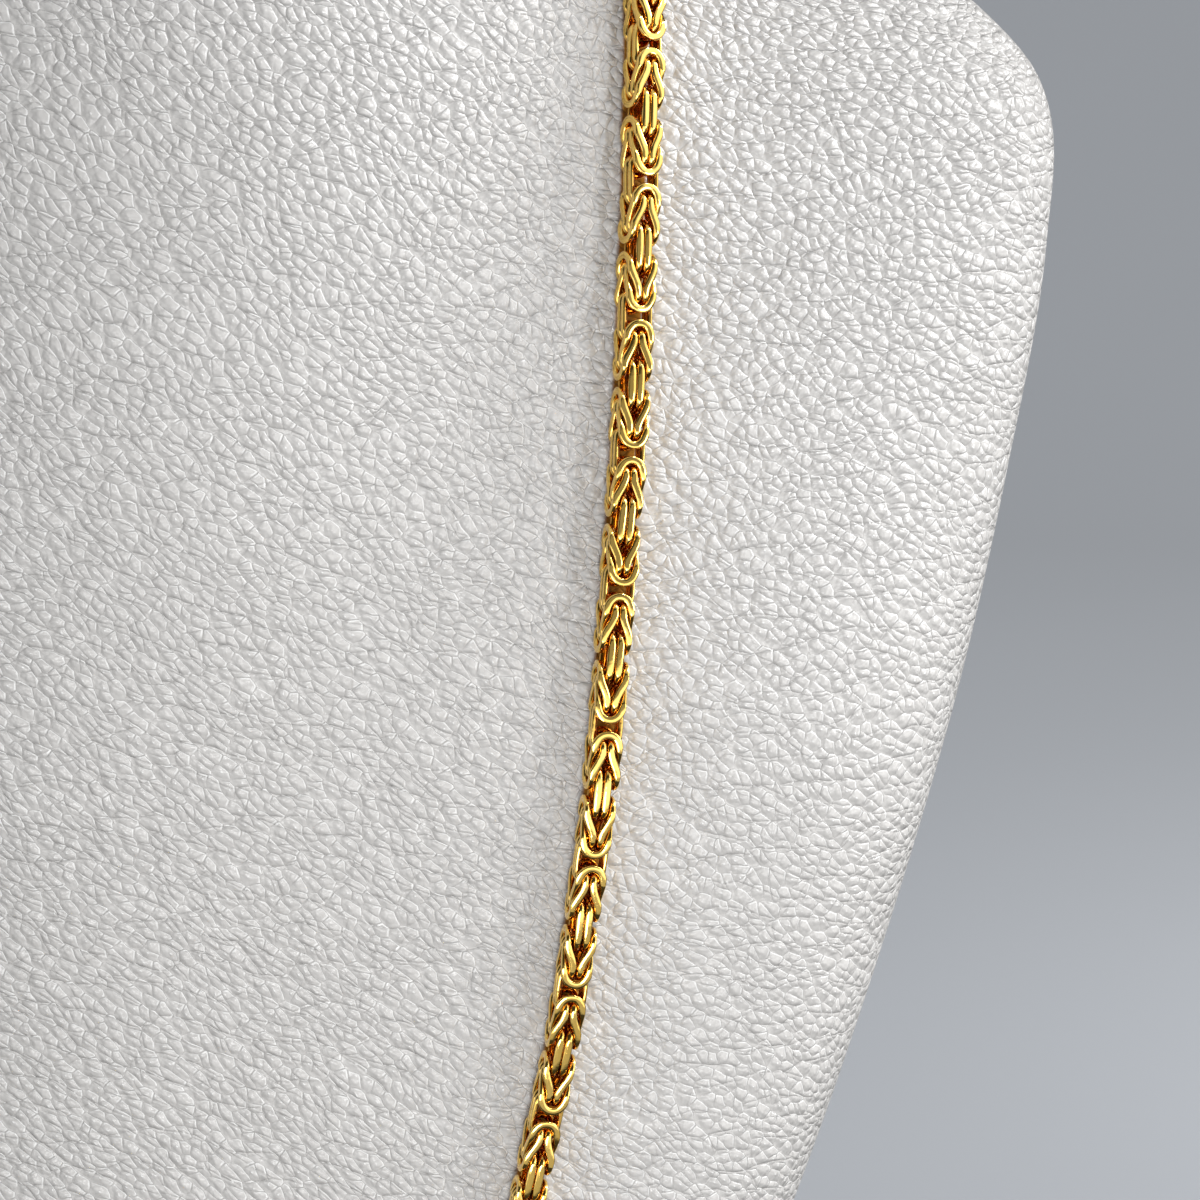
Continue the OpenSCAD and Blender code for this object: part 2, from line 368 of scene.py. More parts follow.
@dataclass(frozen=True)
class PolishedGold(Finish):
    """Yellow gold, planed and highly polished."""

    colour: Colour = (1.0, 0.70, 0.22, 1.0)
    deep_colour: Colour = (0.97, 0.61, 0.12, 1.0)
    # Colour of the painted shade on the metal deep inside the chain, deep orange like gold lit by gold
    inner_shade_colour: Colour = (0.55, 0.17, 0.008, 1.0)
    roughness: float = 0.085
    roughness_shares: Span = (0.7, 1.4)
    grain_span: Span = (0.2, 0.8)
    patch: float = 0.0016
    grain: float = 0.00008
    swell: float = 0.000032
    scratch: float = 0.0000012

    def build(self) -> bpy.types.Material:
        """Build the gold.

        Returns:
            The gold as a material.
        """
        graph, shader, place, material = self.start()
        patches, grain = self.mottle(graph, place, self.patch, self.grain)
        # Painted shade on the metal deep inside the chain
        inward = graph.add("ShaderNodeAttribute", {"attribute_name": INNER_SHADE}).outputs["Fac"]
        outer = graph.mix(patches, self.deep_colour, self.colour)
        graph.feed(shader.inputs["Base Color"], graph.mix(inward, outer, self.inner_shade_colour))
        shader.inputs["Metallic"].default_value = 1.0
        least, most = (share * self.roughness for share in self.roughness_shares)
        rough = graph.spread(grain, *self.grain_span, least, most)
        graph.feed(shader.inputs["Roughness"], rough)
        swell = graph.add("ShaderNodeBump", None, {"Distance": self.swell, "Height": patches})
        fine = graph.add("ShaderNodeBump", None,
                         {"Distance": self.scratch, "Height": grain, "Normal": swell.outputs[0]})
        graph.feed(shader.inputs["Normal"], fine.outputs[0])
        return material


@dataclass(frozen=True)
class PebbleMarks:
    """What the leatherette's relief and its colour both read at a point."""

    along_grain: bpy.types.NodeSocket
    to_edge: bpy.types.NodeSocket
    to_crease: bpy.types.NodeSocket
    from_middle: bpy.types.NodeSocket
    uphill: bpy.types.NodeSocket
    pimple: bpy.types.NodeSocket


@dataclass(frozen=True)
class PebbledLeatherette(Finish):
    """White leatherette with slanting scale-like pebbles and long creases."""

    colour: Colour = (0.642, 0.624, 0.604, 1.0)
    # Darker colour for the painted shade in the creases, and for the dark patches of the uneven tone
    crease_shade_and_mottle_colour: Colour = (0.515, 0.498, 0.480, 1.0)
    # Colour of the painted highlights on the pebbles' upper rims and on the pimples
    rim_highlight_colour: Colour = (0.93, 0.92, 0.90, 1.0)
    # Colour of the painted shade under the chain, warm like light off the gold
    under_chain_shade_colour: Colour = (0.42, 0.18, 0.012, 1.0)
    roughness: float = 0.30
    roughness_shares: Span = (0.9, 1.15)
    shine: float = 0.5
    patch: float = 0.012
    patch_span: Span = (0.3, 0.7)
    grain: float = 0.00025

    # Widths of the pebbles and of the long creases' cells, and each one's width as a share of its length
    pebble: float = 0.00089
    stretch: float = 0.57
    crease: float = 0.0021
    long_stretch: float = 0.36
    # Width of the small folds on a pebble, as a share of its own width and of their length
    facet: float = 0.5
    facet_stretch: float = 0.8
    unevenness: float = 0.85

    # How far the pebbles and the creases fall to the right, in degrees
    slant: float = 42.0
    crease_slant: float = 20.0
    # How far they drift, over what size, and how they bend on the chest's right side
    warp: float = 0.0011
    warp_size: float = 0.014
    warp_detail: float = 4.0
    wrinkling: float = 0.60
    bend_start: float = 0.035
    bend: float = 0.016
    bend_length: float = 0.040

    # The relief: reaches are in widths of a cell, and heights are shares of the depth
    depth: float = 0.00029
    rounding: float = 2.8
    edge_reach: float = 0.24
    edge_height: float = 0.25
    upward: tuple[float, float, float] = (0.25, 1.0, 0.0)
    tilt: float = 0.34
    bulge: float = 0.9
    bulge_reach: float = 0.75
    fold: float = 0.32
    crease_reach: float = 0.16
    crease_height: float = 0.45
    pimple_span: Span = (0.02, 0.13)
    pimple_chance: Span = (0.55, 0.60)
    pimple_height: float = 0.15
    grain_height: float = 0.05

    # The tone: how wide the lines of painted shade in the creases are, what they leave of it, and where the
    # painted highlights on the pebbles' upper rims lie
    edge_line: float = 0.05
    edge_tone: float = 0.5
    crease_line: float = 0.03
    crease_tone: float = 0.4
    inner_rim: Span = (0.02, 0.06)
    outer_rim: Span = (0.09, 0.16)
    upper_side: Span = (0.05, 0.35)
    patch_tone: float = 0.25
    line_tone: float = 0.85

    # How far to each side of the chain's middle the cover gets painted shade, tinted warm like light off the
    # gold, under the chain
    shade_reach: float = 0.00100
    shade_soft: float = 0.0004

    def drifted(self, graph: NodeGraph) -> bpy.types.NodeSocket:
        """Let the cover's own coordinates drift like stretched hide.

        Args:
            graph: The material's graph.

        Returns:
            The drifting coordinates.
        """
        place = graph.add("ShaderNodeUVMap", {"uv_map": COVER_MAP}).outputs[0]
        inputs = {
            "Vector": place,
            "Scale": 1.0 / self.warp_size,
            "Detail": self.warp_detail,
            "Roughness": self.wrinkling,
        }
        drift = graph.add("ShaderNodeTexNoise", {"noise_dimensions": "2D"}, inputs).outputs[1]
        centred = graph.vector("SUBTRACT", drift, (0.5, 0.5, 0.5))
        inputs = {0: centred, "Scale": 2 * self.warp}
        offset = graph.add("ShaderNodeVectorMath", {"operation": "SCALE"}, inputs).outputs[0]
        rightward = graph.vector("DOT_PRODUCT", place, (1.0, 0.0, 0.0))
        past = graph.math("MAXIMUM", graph.math("SUBTRACT", rightward, self.bend_start), 0.0)
        wave = graph.math("COSINE", graph.math("DIVIDE", past, self.bend_length))
        rise = graph.math("MULTIPLY", wave, self.bend)
        bend = graph.add("ShaderNodeCombineXYZ", None, {"Y": rise}).outputs[0]
        return graph.vector("ADD", graph.vector("ADD", place, offset), bend)

    @staticmethod
    def turned(graph: NodeGraph, place: bpy.types.NodeSocket, slant: float) -> bpy.types.NodeSocket:
        """Turn coordinates so that the first one runs along the grain.

        Args:
            graph: The material's graph.
            place: Coordinates.
            slant: How far the grain falls to the right, in degrees.

        Returns:
            The turned coordinates.
        """
        inputs = {"Vector": place, "Rotation": (0.0, 0.0, math.radians(slant))}
        return graph.add("ShaderNodeMapping", None, inputs).outputs[0]

    def cells(self, graph: NodeGraph, place: bpy.types.NodeSocket, size: float, stretch: float,
              feature: CellFeature) -> tuple[bpy.types.NodeSocket, bpy.types.Node]:
        """Draw cells that are longer along the grain.

        Args:
            graph: The material's graph.
            place: Coordinates along and across the grain.
            size: Width of a cell.
            stretch: Its width as a share of its length.
            feature: What the cells measure.

        Returns:
            The coordinates in widths of a cell, and the node that draws the cells.
        """
        scaled = graph.vector("MULTIPLY", place, (stretch / size, 1.0 / size, 0.0))
        settings = {"voronoi_dimensions": "2D", "feature": feature.value}
        inputs = {"Vector": scaled, "Scale": 1.0, "Randomness": self.unevenness}
        return scaled, graph.add("ShaderNodeTexVoronoi", settings, inputs)

    def dome(self, graph: NodeGraph, distance: bpy.types.NodeSocket, top: float) -> bpy.types.NodeSocket:
        """Shape a height that is steep at a crease and evens out towards the top.

        Args:
            graph: The material's graph.
            distance: Distance from the crease.
            top: Distance at which the top starts.

        Returns:
            Height from 0 to 1.
        """
        inputs = {"Value": distance, "From Min": 0.0, "From Max": top, "To Min": 1.0, "To Max": 0.0}
        fall = graph.add("ShaderNodeMapRange", {"clamp": True}, inputs).outputs[0]
        return graph.math("SUBTRACT", 1.0, graph.math("POWER", fall, self.rounding))

    def marks(self, graph: NodeGraph) -> PebbleMarks:
        """Draw the pebbles and the creases.

        Args:
            graph: The material's graph.

        Returns:
            What they give at each point.
        """
        drifted = self.drifted(graph)
        along = self.turned(graph, drifted, self.slant)
        across = self.turned(graph, drifted, self.crease_slant)
        edges = self.cells(graph, along, self.pebble, self.stretch, CellFeature.TO_EDGE)[1]
        creases = self.cells(graph, across, self.crease, self.long_stretch, CellFeature.TO_EDGE)[1]
        scaled, pebbles = self.cells(graph, along, self.pebble, self.stretch, CellFeature.TO_MIDDLE)
        within = graph.vector("SUBTRACT", scaled, pebbles.outputs["Position"])
        from_middle = pebbles.outputs["Distance"]
        chosen = graph.spread(pebbles.outputs["Color"], *self.pimple_chance)
        dot = graph.spread(from_middle, *self.pimple_span, 1.0, 0.0)
        return PebbleMarks(
            along_grain=along,
            to_edge=edges.outputs["Distance"],
            to_crease=creases.outputs["Distance"],
            from_middle=from_middle,
            uphill=graph.vector("DOT_PRODUCT", within, self.upward),
            pimple=graph.math("MULTIPLY", dot, chosen),
        )

    def height(self, graph: NodeGraph, marks: PebbleMarks,
               grain: bpy.types.NodeSocket) -> bpy.types.NodeSocket:
        """Add up the relief: tilted pebbles with round tops and folds, creases, pimples and grain.

        Args:
            graph: The material's graph.
            marks: The pebbles and the creases.
            grain: The finest grain.

        Returns:
            The height, in shares of the depth.
        """
        tilted = graph.math("MULTIPLY_ADD", marks.uphill, self.tilt, self.edge_height)
        height = graph.math("MULTIPLY", self.dome(graph, marks.to_edge, self.edge_reach), tilted)
        top = graph.spread(marks.from_middle, 0.0, self.bulge_reach, 1.0, 0.0)
        height = graph.math("MULTIPLY_ADD", top, self.bulge, height)
        facets = self.cells(graph, marks.along_grain, self.facet * self.pebble, self.facet_stretch,
                            CellFeature.TO_MIDDLE)[1].outputs["Distance"]
        height = graph.math("MULTIPLY_ADD", facets, -self.fold, height)
        ridge = self.dome(graph, marks.to_crease, self.crease_reach)
        height = graph.math("MULTIPLY_ADD", ridge, self.crease_height, height)
        height = graph.math("MULTIPLY_ADD", grain, self.grain_height, height)
        return graph.math("MULTIPLY_ADD", marks.pimple, self.pimple_height, height)

    def open_colour(self, graph: NodeGraph, marks: PebbleMarks,
                    patches: bpy.types.NodeSocket) -> bpy.types.NodeSocket:
        """Colour the open cover: painted shade in the lines between the pebbles, and painted highlights on
        their upper rims and on the pimples.

        Args:
            graph: The material's graph.
            marks: The pebbles and the creases.
            patches: The slow change of tone.

        Returns:
            The colour.
        """
        # Painted shade in the lines between the pebbles and along the long creases
        off_edge = graph.spread(marks.to_edge, 0.0, self.edge_line, self.edge_tone)
        off_crease = graph.spread(marks.to_crease, 0.0, self.crease_line, self.crease_tone)
        off_lines = graph.math("MULTIPLY", off_edge, off_crease)
        # Painted highlights on the pebbles' upper rims, where the light falls
        inside = graph.spread(marks.to_edge, *self.inner_rim)
        outside = graph.spread(marks.to_edge, *self.outer_rim, 1.0, 0.0)
        upper = graph.spread(marks.uphill, *self.upper_side)
        rim = graph.math("MULTIPLY", graph.math("MULTIPLY", inside, outside), upper)
        # Painted highlights on the pimples too
        rim = graph.math("MAXIMUM", rim, marks.pimple)
        tone = graph.math("MULTIPLY_ADD", patches, self.patch_tone,
                          graph.math("MULTIPLY", off_lines, self.line_tone))
        return graph.mix(rim, graph.mix(tone, self.crease_shade_and_mottle_colour, self.colour), self.rim_highlight_colour)

    def unshaded(self, graph: NodeGraph) -> bpy.types.NodeSocket:
        """Find where the cover gets painted shade under the chain.

        Args:
            graph: The material's graph.

        Returns:
            0 in the painted shade under the chain and 1 in the open.
        """
        beside = graph.add("ShaderNodeAttribute", {"attribute_name": BESIDE_CHAIN}).outputs["Fac"]
        near = graph.add("ShaderNodeAttribute", {"attribute_name": NEAR_CHAIN}).outputs["Fac"]
        off_chain = graph.math("ABSOLUTE", beside)
        clear = graph.spread(off_chain, self.shade_reach, self.shade_reach + self.shade_soft)
        return graph.math("MAXIMUM", clear, graph.math("SUBTRACT", 1.0, near))

    def build(self) -> bpy.types.Material:
        """Build the leatherette.

        Returns:
            The leatherette as a material.
        """
        graph, shader, place, material = self.start()
        patches, grain = self.mottle(graph, place, self.patch, self.grain)
        marks = self.marks(graph)
        unshaded = self.unshaded(graph)
        # Painted shade under the chain, warm like light off the gold
        colour = graph.mix(unshaded, self.under_chain_shade_colour, self.open_colour(graph, marks, patches))
        graph.feed(shader.inputs["Base Color"], colour)
        least, most = (share * self.roughness for share in self.roughness_shares)
        rough = graph.spread(patches, *self.patch_span, least, most)
        # No gloss in the painted shade under the chain
        dull = graph.math("MAXIMUM", rough, graph.math("SUBTRACT", 1.0, unshaded))
        graph.feed(shader.inputs["Roughness"], dull)
        shader.inputs["Specular IOR Level"].default_value = self.shine
        height = self.height(graph, marks, grain)
        bump = graph.add("ShaderNodeBump", None, {"Distance": self.depth, "Height": height})
        graph.feed(shader.inputs["Normal"], bump.outputs[0])
        return material


@dataclass(frozen=True)
class PaintedStage(Finish):
    """The plain matt paint of the studio's floor and wall."""

    colour: Colour = (0.36, 0.375, 0.40, 1.0)
    worn_colour: Colour = (0.345, 0.36, 0.385, 1.0)
    roughness: float = 0.8
    patch: float = 0.25
    grain: float = 0.001
    depth: float = 0.00002

    def build(self) -> bpy.types.Material:
        """Build the paint.

        Returns:
            The paint as a material.
        """
        graph, shader, place, material = self.start()
        patches, grain = self.mottle(graph, place, self.patch, self.grain)
        graph.feed(shader.inputs["Base Color"], graph.mix(patches, self.worn_colour, self.colour))
        shader.inputs["Roughness"].default_value = self.roughness
        bump = graph.add("ShaderNodeBump", None, {"Distance": self.depth, "Height": grain})
        graph.feed(shader.inputs["Normal"], bump.outputs[0])
        return material


@dataclass
class BustForm:
    """The bust's smooth surface, worked out from its table of levels."""

    height: float = 0.300
    shoulder_w: float = 0.179
    foot_w: float = 0.086
    chest_d: float = 0.030
    back_d: float = 0.036
    lean_d: float = 0.012
    neck_w: float = 0.090
    neck_d: float = 0.084
    rim_r: float = 0.004
    foot_r: float = 0.0025
    blend: float = 4.0
    front_y: float = -0.050
    # Heights that are tried to find the front, and the steps that a normal is measured over
    tried: int = 400
    small_turn: float = 0.05
    small_rise: float = 0.00005
    stand_y: float = field(init=False, default=0.0)

    def __post_init__(self) -> None:
        """Find how far the form moves back, so that its front is at front_y."""
        heights = np.linspace(self.foot_r, self.height - self.rim_r, self.tried)
        self.stand_y = float(self.raw_y(heights, -1.0).min()) - self.front_y

    def share(self, up: np.ndarray, column: Column) -> np.ndarray:
        """Read one column of the table at heights between its rows.

        Args:
            up: Heights as shares of the bust's height.
            column: The column.

        Returns:
            Smooth values through every row.
        """
        ups = LEVELS[:, Column.UP]
        values = LEVELS[:, column]
        before = np.maximum(np.arange(len(ups)) - 1, 0)
        after = np.minimum(np.arange(len(ups)) + 1, len(ups) - 1)
        slopes = (values[after] - values[before]) / (ups[after] - ups[before])
        i = np.clip(np.searchsorted(ups, up, side="right") - 1, 0, len(ups) - 2)
        span = ups[i + 1] - ups[i]
        t = (up - ups[i]) / span
        return (
            (2 * t**3 - 3 * t**2 + 1) * values[i] + (t**3 - 2 * t**2 + t) * slopes[i] * span
            + (3 * t**2 - 2 * t**3) * values[i + 1] + (t**3 - t**2) * slopes[i + 1] * span
        )

    def drawn_in(self, z: np.ndarray) -> np.ndarray:
        """Measure how far the rounded foot and rim draw the surface in.

        Args:
            z: Heights.

        Returns:
            Distances.
        """
        total = np.zeros_like(z)
        for depth, radius in ((self.foot_r - z, self.foot_r), (z - self.height + self.rim_r, self.rim_r)):
            inside = np.clip(depth, 0.0, radius)
            total += radius - np.sqrt(radius**2 - inside**2)
        return total

    def halves(self, z: np.ndarray) -> dict[Column, np.ndarray]:
        """Work out the half widths and depths of the body and the neck.

        Args:
            z: Heights.

        Returns:
            Each column's half size at the heights.
        """
        up = z / self.height
        return {
            Column.WIDE: (self.foot_w + (self.shoulder_w - self.foot_w) * self.share(up, Column.WIDE)) / 2,
            Column.FRONT: self.chest_d * self.share(up, Column.FRONT),
            Column.BACK: self.back_d * self.share(up, Column.BACK),
            Column.NECK_WIDE: self.neck_w / 2 * self.share(up, Column.NECK_WIDE),
            Column.NECK_FRONT: self.neck_d / 2 * self.share(up, Column.NECK_FRONT),
            Column.NECK_BACK: self.neck_d / 2 * self.share(up, Column.NECK_BACK),
        }

    def reach(self, z: np.ndarray, across: np.ndarray, back: np.ndarray) -> np.ndarray:
        """Measure from the section's middle to the surface.

        Args:
            z: Heights.
            across: X of the plan direction, at length one.
            back: Y of the plan direction.

        Returns:
            Distances.
        """
        half = self.halves(z)
        power = self.share(z / self.height, Column.SQUARE)
        body_y = np.where(back < 0, half[Column.FRONT], half[Column.BACK])
        neck_y = np.where(back < 0, half[Column.NECK_FRONT], half[Column.NECK_BACK])
        body = (np.abs(across / half[Column.WIDE]) ** power + np.abs(back / body_y) ** power) ** (-1 / power)
        neck = 1 / np.hypot(across / half[Column.NECK_WIDE], back / neck_y)
        return (body**self.blend + neck**self.blend) ** (1 / self.blend) - self.drawn_in(z)

    def raw_y(self, z: np.ndarray, side: float) -> np.ndarray:
        """Find the surface's depth on the middle line, before the form moves.

        Args:
            z: Heights.
            side: -1 for the front and 1 for the back.

        Returns:
            Y of the surface.
        """
        flat = np.zeros_like(z)
        middle = self.lean_d * self.share(z / self.height, Column.LEAN)
        return middle + side * self.reach(z, flat, flat + side)

    def skin(self, z: np.ndarray, across: np.ndarray, back: np.ndarray) -> np.ndarray:
        """Place points on the surface.

        Args:
            z: Heights.
            across: X of the plan direction, at length one.
            back: Y of the plan direction.

        Returns:
            The points.
        """
        r = self.reach(z, across, back)
        middle = self.lean_d * self.share(z / self.height, Column.LEAN) - self.stand_y
        return np.stack([r * across, middle + r * back, z], axis=-1)

    def skin_at(self, turn: np.ndarray, z: np.ndarray) -> np.ndarray:
        """Return the surface's points at turns from the front, in degrees."""
        angle = np.radians(turn)
        return self.skin(z, np.sin(angle), -np.cos(angle))

    def outward(self, turn: np.ndarray, z: np.ndarray) -> np.ndarray:
        """Find the surface's outward normals.

        Args:
            turn: Turns from the front, in degrees.
            z: Heights.

        Returns:
            The normals, at length one.
        """
        round_way = self.skin_at(turn + self.small_turn, z) - self.skin_at(turn - self.small_turn, z)
        up_way = self.skin_at(turn, z + self.small_rise) - self.skin_at(turn, z - self.small_rise)
        return unit(np.cross(round_way, up_way))


@dataclass
class NeckBust:
    """The bust's cover, one closed mesh that stands for the plain solid."""

    form: BustForm
    route: "ChainRoute"
    finish: bpy.types.Material
    around: int = 288
    levels: int = 236
    edge_levels: int = 8
    cap_rings: int = 10
    # How far from the chain the cover still knows its distance
    beside_reach: float = 0.012
    # How far round from the front the flat map keeps its true widths, in radians
    true_turn: float = 1.2

    def heights(self) -> np.ndarray:
        """Space the mesh's rings, closer on the rounded foot and rim.

        Returns:
            The rings' heights.
        """
        form = self.form
        bend = 1 - np.cos(np.linspace(0, np.pi / 2, self.edge_levels, endpoint=False))
        even = np.linspace(form.foot_r, form.height - form.rim_r, self.levels)
        return np.concatenate([form.foot_r * bend, even, form.height - form.rim_r * bend[::-1]])

    def ring(self, z: float) -> np.ndarray:
        """Spread one level's points evenly round its oval.

        Args:
            z: The level's height.

        Returns:
            The points.
        """
        a = np.linspace(0, 2 * np.pi, self.around, endpoint=False)
        half = {key: float(value) for key, value in self.form.halves(np.array(z)).items()}
        wide = math.hypot(half[Column.WIDE], half[Column.NECK_WIDE])
        front = math.hypot(half[Column.FRONT], half[Column.NECK_FRONT])
        back = math.hypot(half[Column.BACK], half[Column.NECK_BACK])
        deep = np.where(np.cos(a) > 0, front, back)
        way = unit(np.stack([wide * np.sin(a), -deep * np.cos(a)], axis=-1))
        return self.form.skin(np.full(self.around, z), way[:, 0], way[:, 1])

    def cap(self, ring: np.ndarray) -> list[np.ndarray]:
        """Close a flat end with rings from its edge towards its middle.

        Args:
            ring: The end's edge.

        Returns:
            The rings inside it.
        """
        middle = ring.mean(axis=0)
        shares = np.linspace(1, 0, self.cap_rings + 1)[1:-1]
        return [middle + share * (ring - middle) for share in shares]

    def lay_out(self, side: np.ndarray) -> np.ndarray:
        """Measure the cover's side flat, as if it were peeled off and laid down.

        Args:
            side: Points of the side's rings, ring by ring.

        Returns:
            For each point and once more for the seam at the back, metres round from the front's middle
            and metres up.
        """
        steps = np.linalg.norm(np.roll(side, -1, axis=1) - side, axis=2)
        half = self.around // 2
        rightward = np.concatenate([np.zeros((len(side), 1)), np.cumsum(steps[:, :half], axis=1)], axis=1)
        leftward = -np.cumsum(steps[:, :half - 1:-1], axis=1)
        round_way = np.concatenate([rightward, leftward[:, ::-1]], axis=1)
        numbers = np.concatenate([np.arange(half + 1), np.arange(half, self.around) - self.around])
        turns = numbers * (2 * np.pi / self.around)
        share = np.clip((np.abs(turns) - self.true_turn) / (np.pi - self.true_turn), 0, 1)
        share = share**2 * (3 - 2 * share)
        even = turns * rightward[:, half].mean() / np.pi
        round_way = (1 - share) * round_way + share * even
        rises = np.linalg.norm(np.diff(side, axis=0), axis=2)
        up_way = np.concatenate([np.zeros((1, self.around)), np.cumsum(rises, axis=0)])
        up_way = np.insert(up_way, half, up_way[:, half], axis=1)
        return np.stack([round_way, up_way], axis=-1)

    def map_cover(self, mesh: bpy.types.Mesh, side: np.ndarray, first: int) -> None:
        """Give the mesh its flat map: peeled off on the side, seen from above on the two ends.

        Args:
            mesh: The cover's mesh.
            side: Points of the side's rings.
            first: Number of the side's first vertex.
        """
        flat = self.lay_out(side)
        half = self.around // 2
        layer = mesh.uv_layers.new(name=COVER_MAP)
        for face in mesh.polygons:
            rows = [(index - first) // self.around for index in face.vertices]
            on_side = all(0 <= row < len(side) for row in rows)
            columns = [(index - first) % self.around for index in face.vertices]
            left = max(columns) > half or (min(columns) == 0 and max(columns) == self.around - 1)
            for loop, index, row, column in zip(face.loop_indices, face.vertices, rows, columns):
                if on_side:
                    place = flat[row, column + 1 if left and column >= half else column]
                else:
                    place = mesh.vertices[index].co[:2]
                layer.data[loop].uv = place

    def mark_chain(self, mesh: bpy.types.Mesh) -> None:
        """Store on each vertex how far it is from under the chain, to the one side or the other, for the
        painted shade under it.

        Args:
            mesh: The cover's mesh.
        """
        feet, acrosses = self.route.feet()
        tree = KDTree(len(feet))
        for number, foot in enumerate(feet):
            tree.insert(foot, number)
        tree.balance()
        beside = mesh.attributes.new(BESIDE_CHAIN, "FLOAT", "POINT")
        near = mesh.attributes.new(NEAR_CHAIN, "FLOAT", "POINT")
        for vertex, stored, marked in zip(mesh.vertices, beside.data, near.data):
            _, number, gap = tree.find(vertex.co)
            over = float(np.dot(np.array(vertex.co) - feet[number], acrosses[number]))
            stored.value = math.copysign(min(gap, self.beside_reach), over)
            marked.value = float(gap < self.beside_reach)

    def build(self) -> bpy.types.Object:
        """Build the cover, dress it and let it stand for the solid.

        Returns:
            The cover.
        """
        side = np.array([self.ring(z) for z in self.heights()])
        foot_cap, rim_cap = self.cap(side[0])[::-1], self.cap(side[-1])
        rings = foot_cap + list(side) + rim_cap
        points = np.concatenate(rings + [rings[0].mean(axis=0)[None], rings[-1].mean(axis=0)[None]])
        faces = grid_faces(len(rings), self.around, closed=False)
        low_pole, high_pole = len(points) - 2, len(points) - 1
        last = (len(rings) - 1) * self.around
        for k in range(self.around):
            step = (k + 1) % self.around
            faces.append((step, k, low_pole))
            faces.append((last + k, last + step, high_pole))
        mesh = bpy.data.meshes.new("bust_cover")
        mesh.from_pydata(points.tolist(), [], faces)
        mesh.shade_smooth()
        mesh.materials.append(self.finish)
        self.map_cover(mesh, side, len(foot_cap) * self.around)
        self.mark_chain(mesh)
        cover = new_object("bust_cover", mesh)
        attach(cover, ROOT_BODY)
        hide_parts("neck_bust")
        return cover


@dataclass
class ClaspPlace:
    """Where the clasp and its rings hold the chain's two ends."""

    clasp_l: float = 0.009
    ring_r: float = 0.0015
    ring_wire: float = 0.0007
    ring_gap: float = 0.0003
    ring_lean: float = 12.0
    cap_l: float = 0.004
    eye_room: float = 0.00045
    eye_wall: float = 0.0005
    metal_gap: float = 0.0001

    def cap_eye(self, form: BustForm) -> np.ndarray:
        """Find the right end cap's eye.

        Args:
            form: The bust's form.

        Returns:
            The middle of the eye.
        """
        z = NAPE_UP * form.height
        nape_y = float(form.raw_y(np.array([z]), 1.0)[0])
        ring_out = self.ring_gap + 2 * self.ring_r + self.ring_wire
        clasp_y = nape_y + ring_out / 2 + self.ring_gap / 2 - form.stand_y
        lean = math.radians(self.ring_lean)
        step = 2 * self.ring_r * np.array([math.cos(lean), -math.sin(lean), 0.0])
        return np.array([self.clasp_l / 2, clasp_y, z]) + step

    def cap_reach(self) -> float:
        """Return the distance from a cap's eye to the end of the chain."""
        eye_r = self.ring_wire / 2 + self.eye_room + self.eye_wall
        return eye_r - self.eye_wall / 2 + self.cap_l + self.metal_gap


@dataclass
class ChainRoute:
    """The line that the chain's middle follows over the bust."""

    form: BustForm
    place: ClaspPlace
    chain_w: float = 0.0028
    seat_gap: float = 0.0003
    steps: int = 60
    # Turns between which the chain's end lies, in degrees, and how often that range is halved
    end_turns: tuple[float, float] = (145.0, 178.0)
    halvings: int = 30
    rows: np.ndarray = field(init=False)

    def __post_init__(self) -> None:
        """Find where the chain meets its end cap, by halving a range of turns."""
        low, high = self.end_turns
        eye, reach = self.place.cap_eye(self.form), self.place.cap_reach()
        for _ in range(self.halvings):
            middle = (low + high) / 2
            end = self.seat(np.array([middle]), np.array([NAPE_UP]))[0][0]
            far = np.linalg.norm(end - eye) > reach
            low, high = (middle, high) if far else (low, middle)
        half = np.array(ROUTE + ((low, NAPE_UP),))
        left = half[:0:-1] * [-1, 1]
        inner = np.concatenate([left, half])
        self.rows = np.concatenate([[2 * inner[0] - inner[1]], inner, [2 * inner[-1] - inner[-2]]])

    def seat(self, turn: np.ndarray, up: np.ndarray) -> tuple[np.ndarray, np.ndarray]:
        """Seat the chain's middle line over the surface.

        Args:
            turn: Turns round the bust, in degrees.
            up: Heights as shares of the bust's.

        Returns:
            The line's points, and the surface's normals there.
        """
        z = up * self.form.height
        out = self.form.outward(turn, z)
        return self.form.skin_at(turn, z) + (self.chain_w / 2 + self.seat_gap) * out, out

    def turns(self) -> np.ndarray:
        """Sample the whole route from the left end to the right one.

        Returns:
            Turns and heights, row by row.
        """
        spans = len(self.rows) - 3
        v = np.linspace(0, spans, spans * self.steps + 1)
        i = np.minimum(v.astype(int), spans - 1)
        t = (v - i)[:, None]
        a, b, c, d = (self.rows[i + k] for k in range(4))
        return (2 * b + (c - a) * t + (2 * a - 5 * b + 4 * c - d) * t**2 + (3 * b - a - 3 * c + d) * t**3) / 2

    def samples(self) -> tuple[np.ndarray, np.ndarray]:
        """Return the points of the chain's middle line, and which way is up off the bust at each."""
        rows = self.turns()
        return self.seat(rows[:, 0], rows[:, 1])

    def feet(self) -> tuple[np.ndarray, np.ndarray]:
        """Find the bust's points under the chain.

        Returns:
            The points, and which way is across the chain at each.
        """
        middles, lifts = self.samples()
        acrosses = unit(np.cross(np.gradient(middles, axis=0), lifts))
        return middles - (self.chain_w / 2 + self.seat_gap) * lifts, acrosses


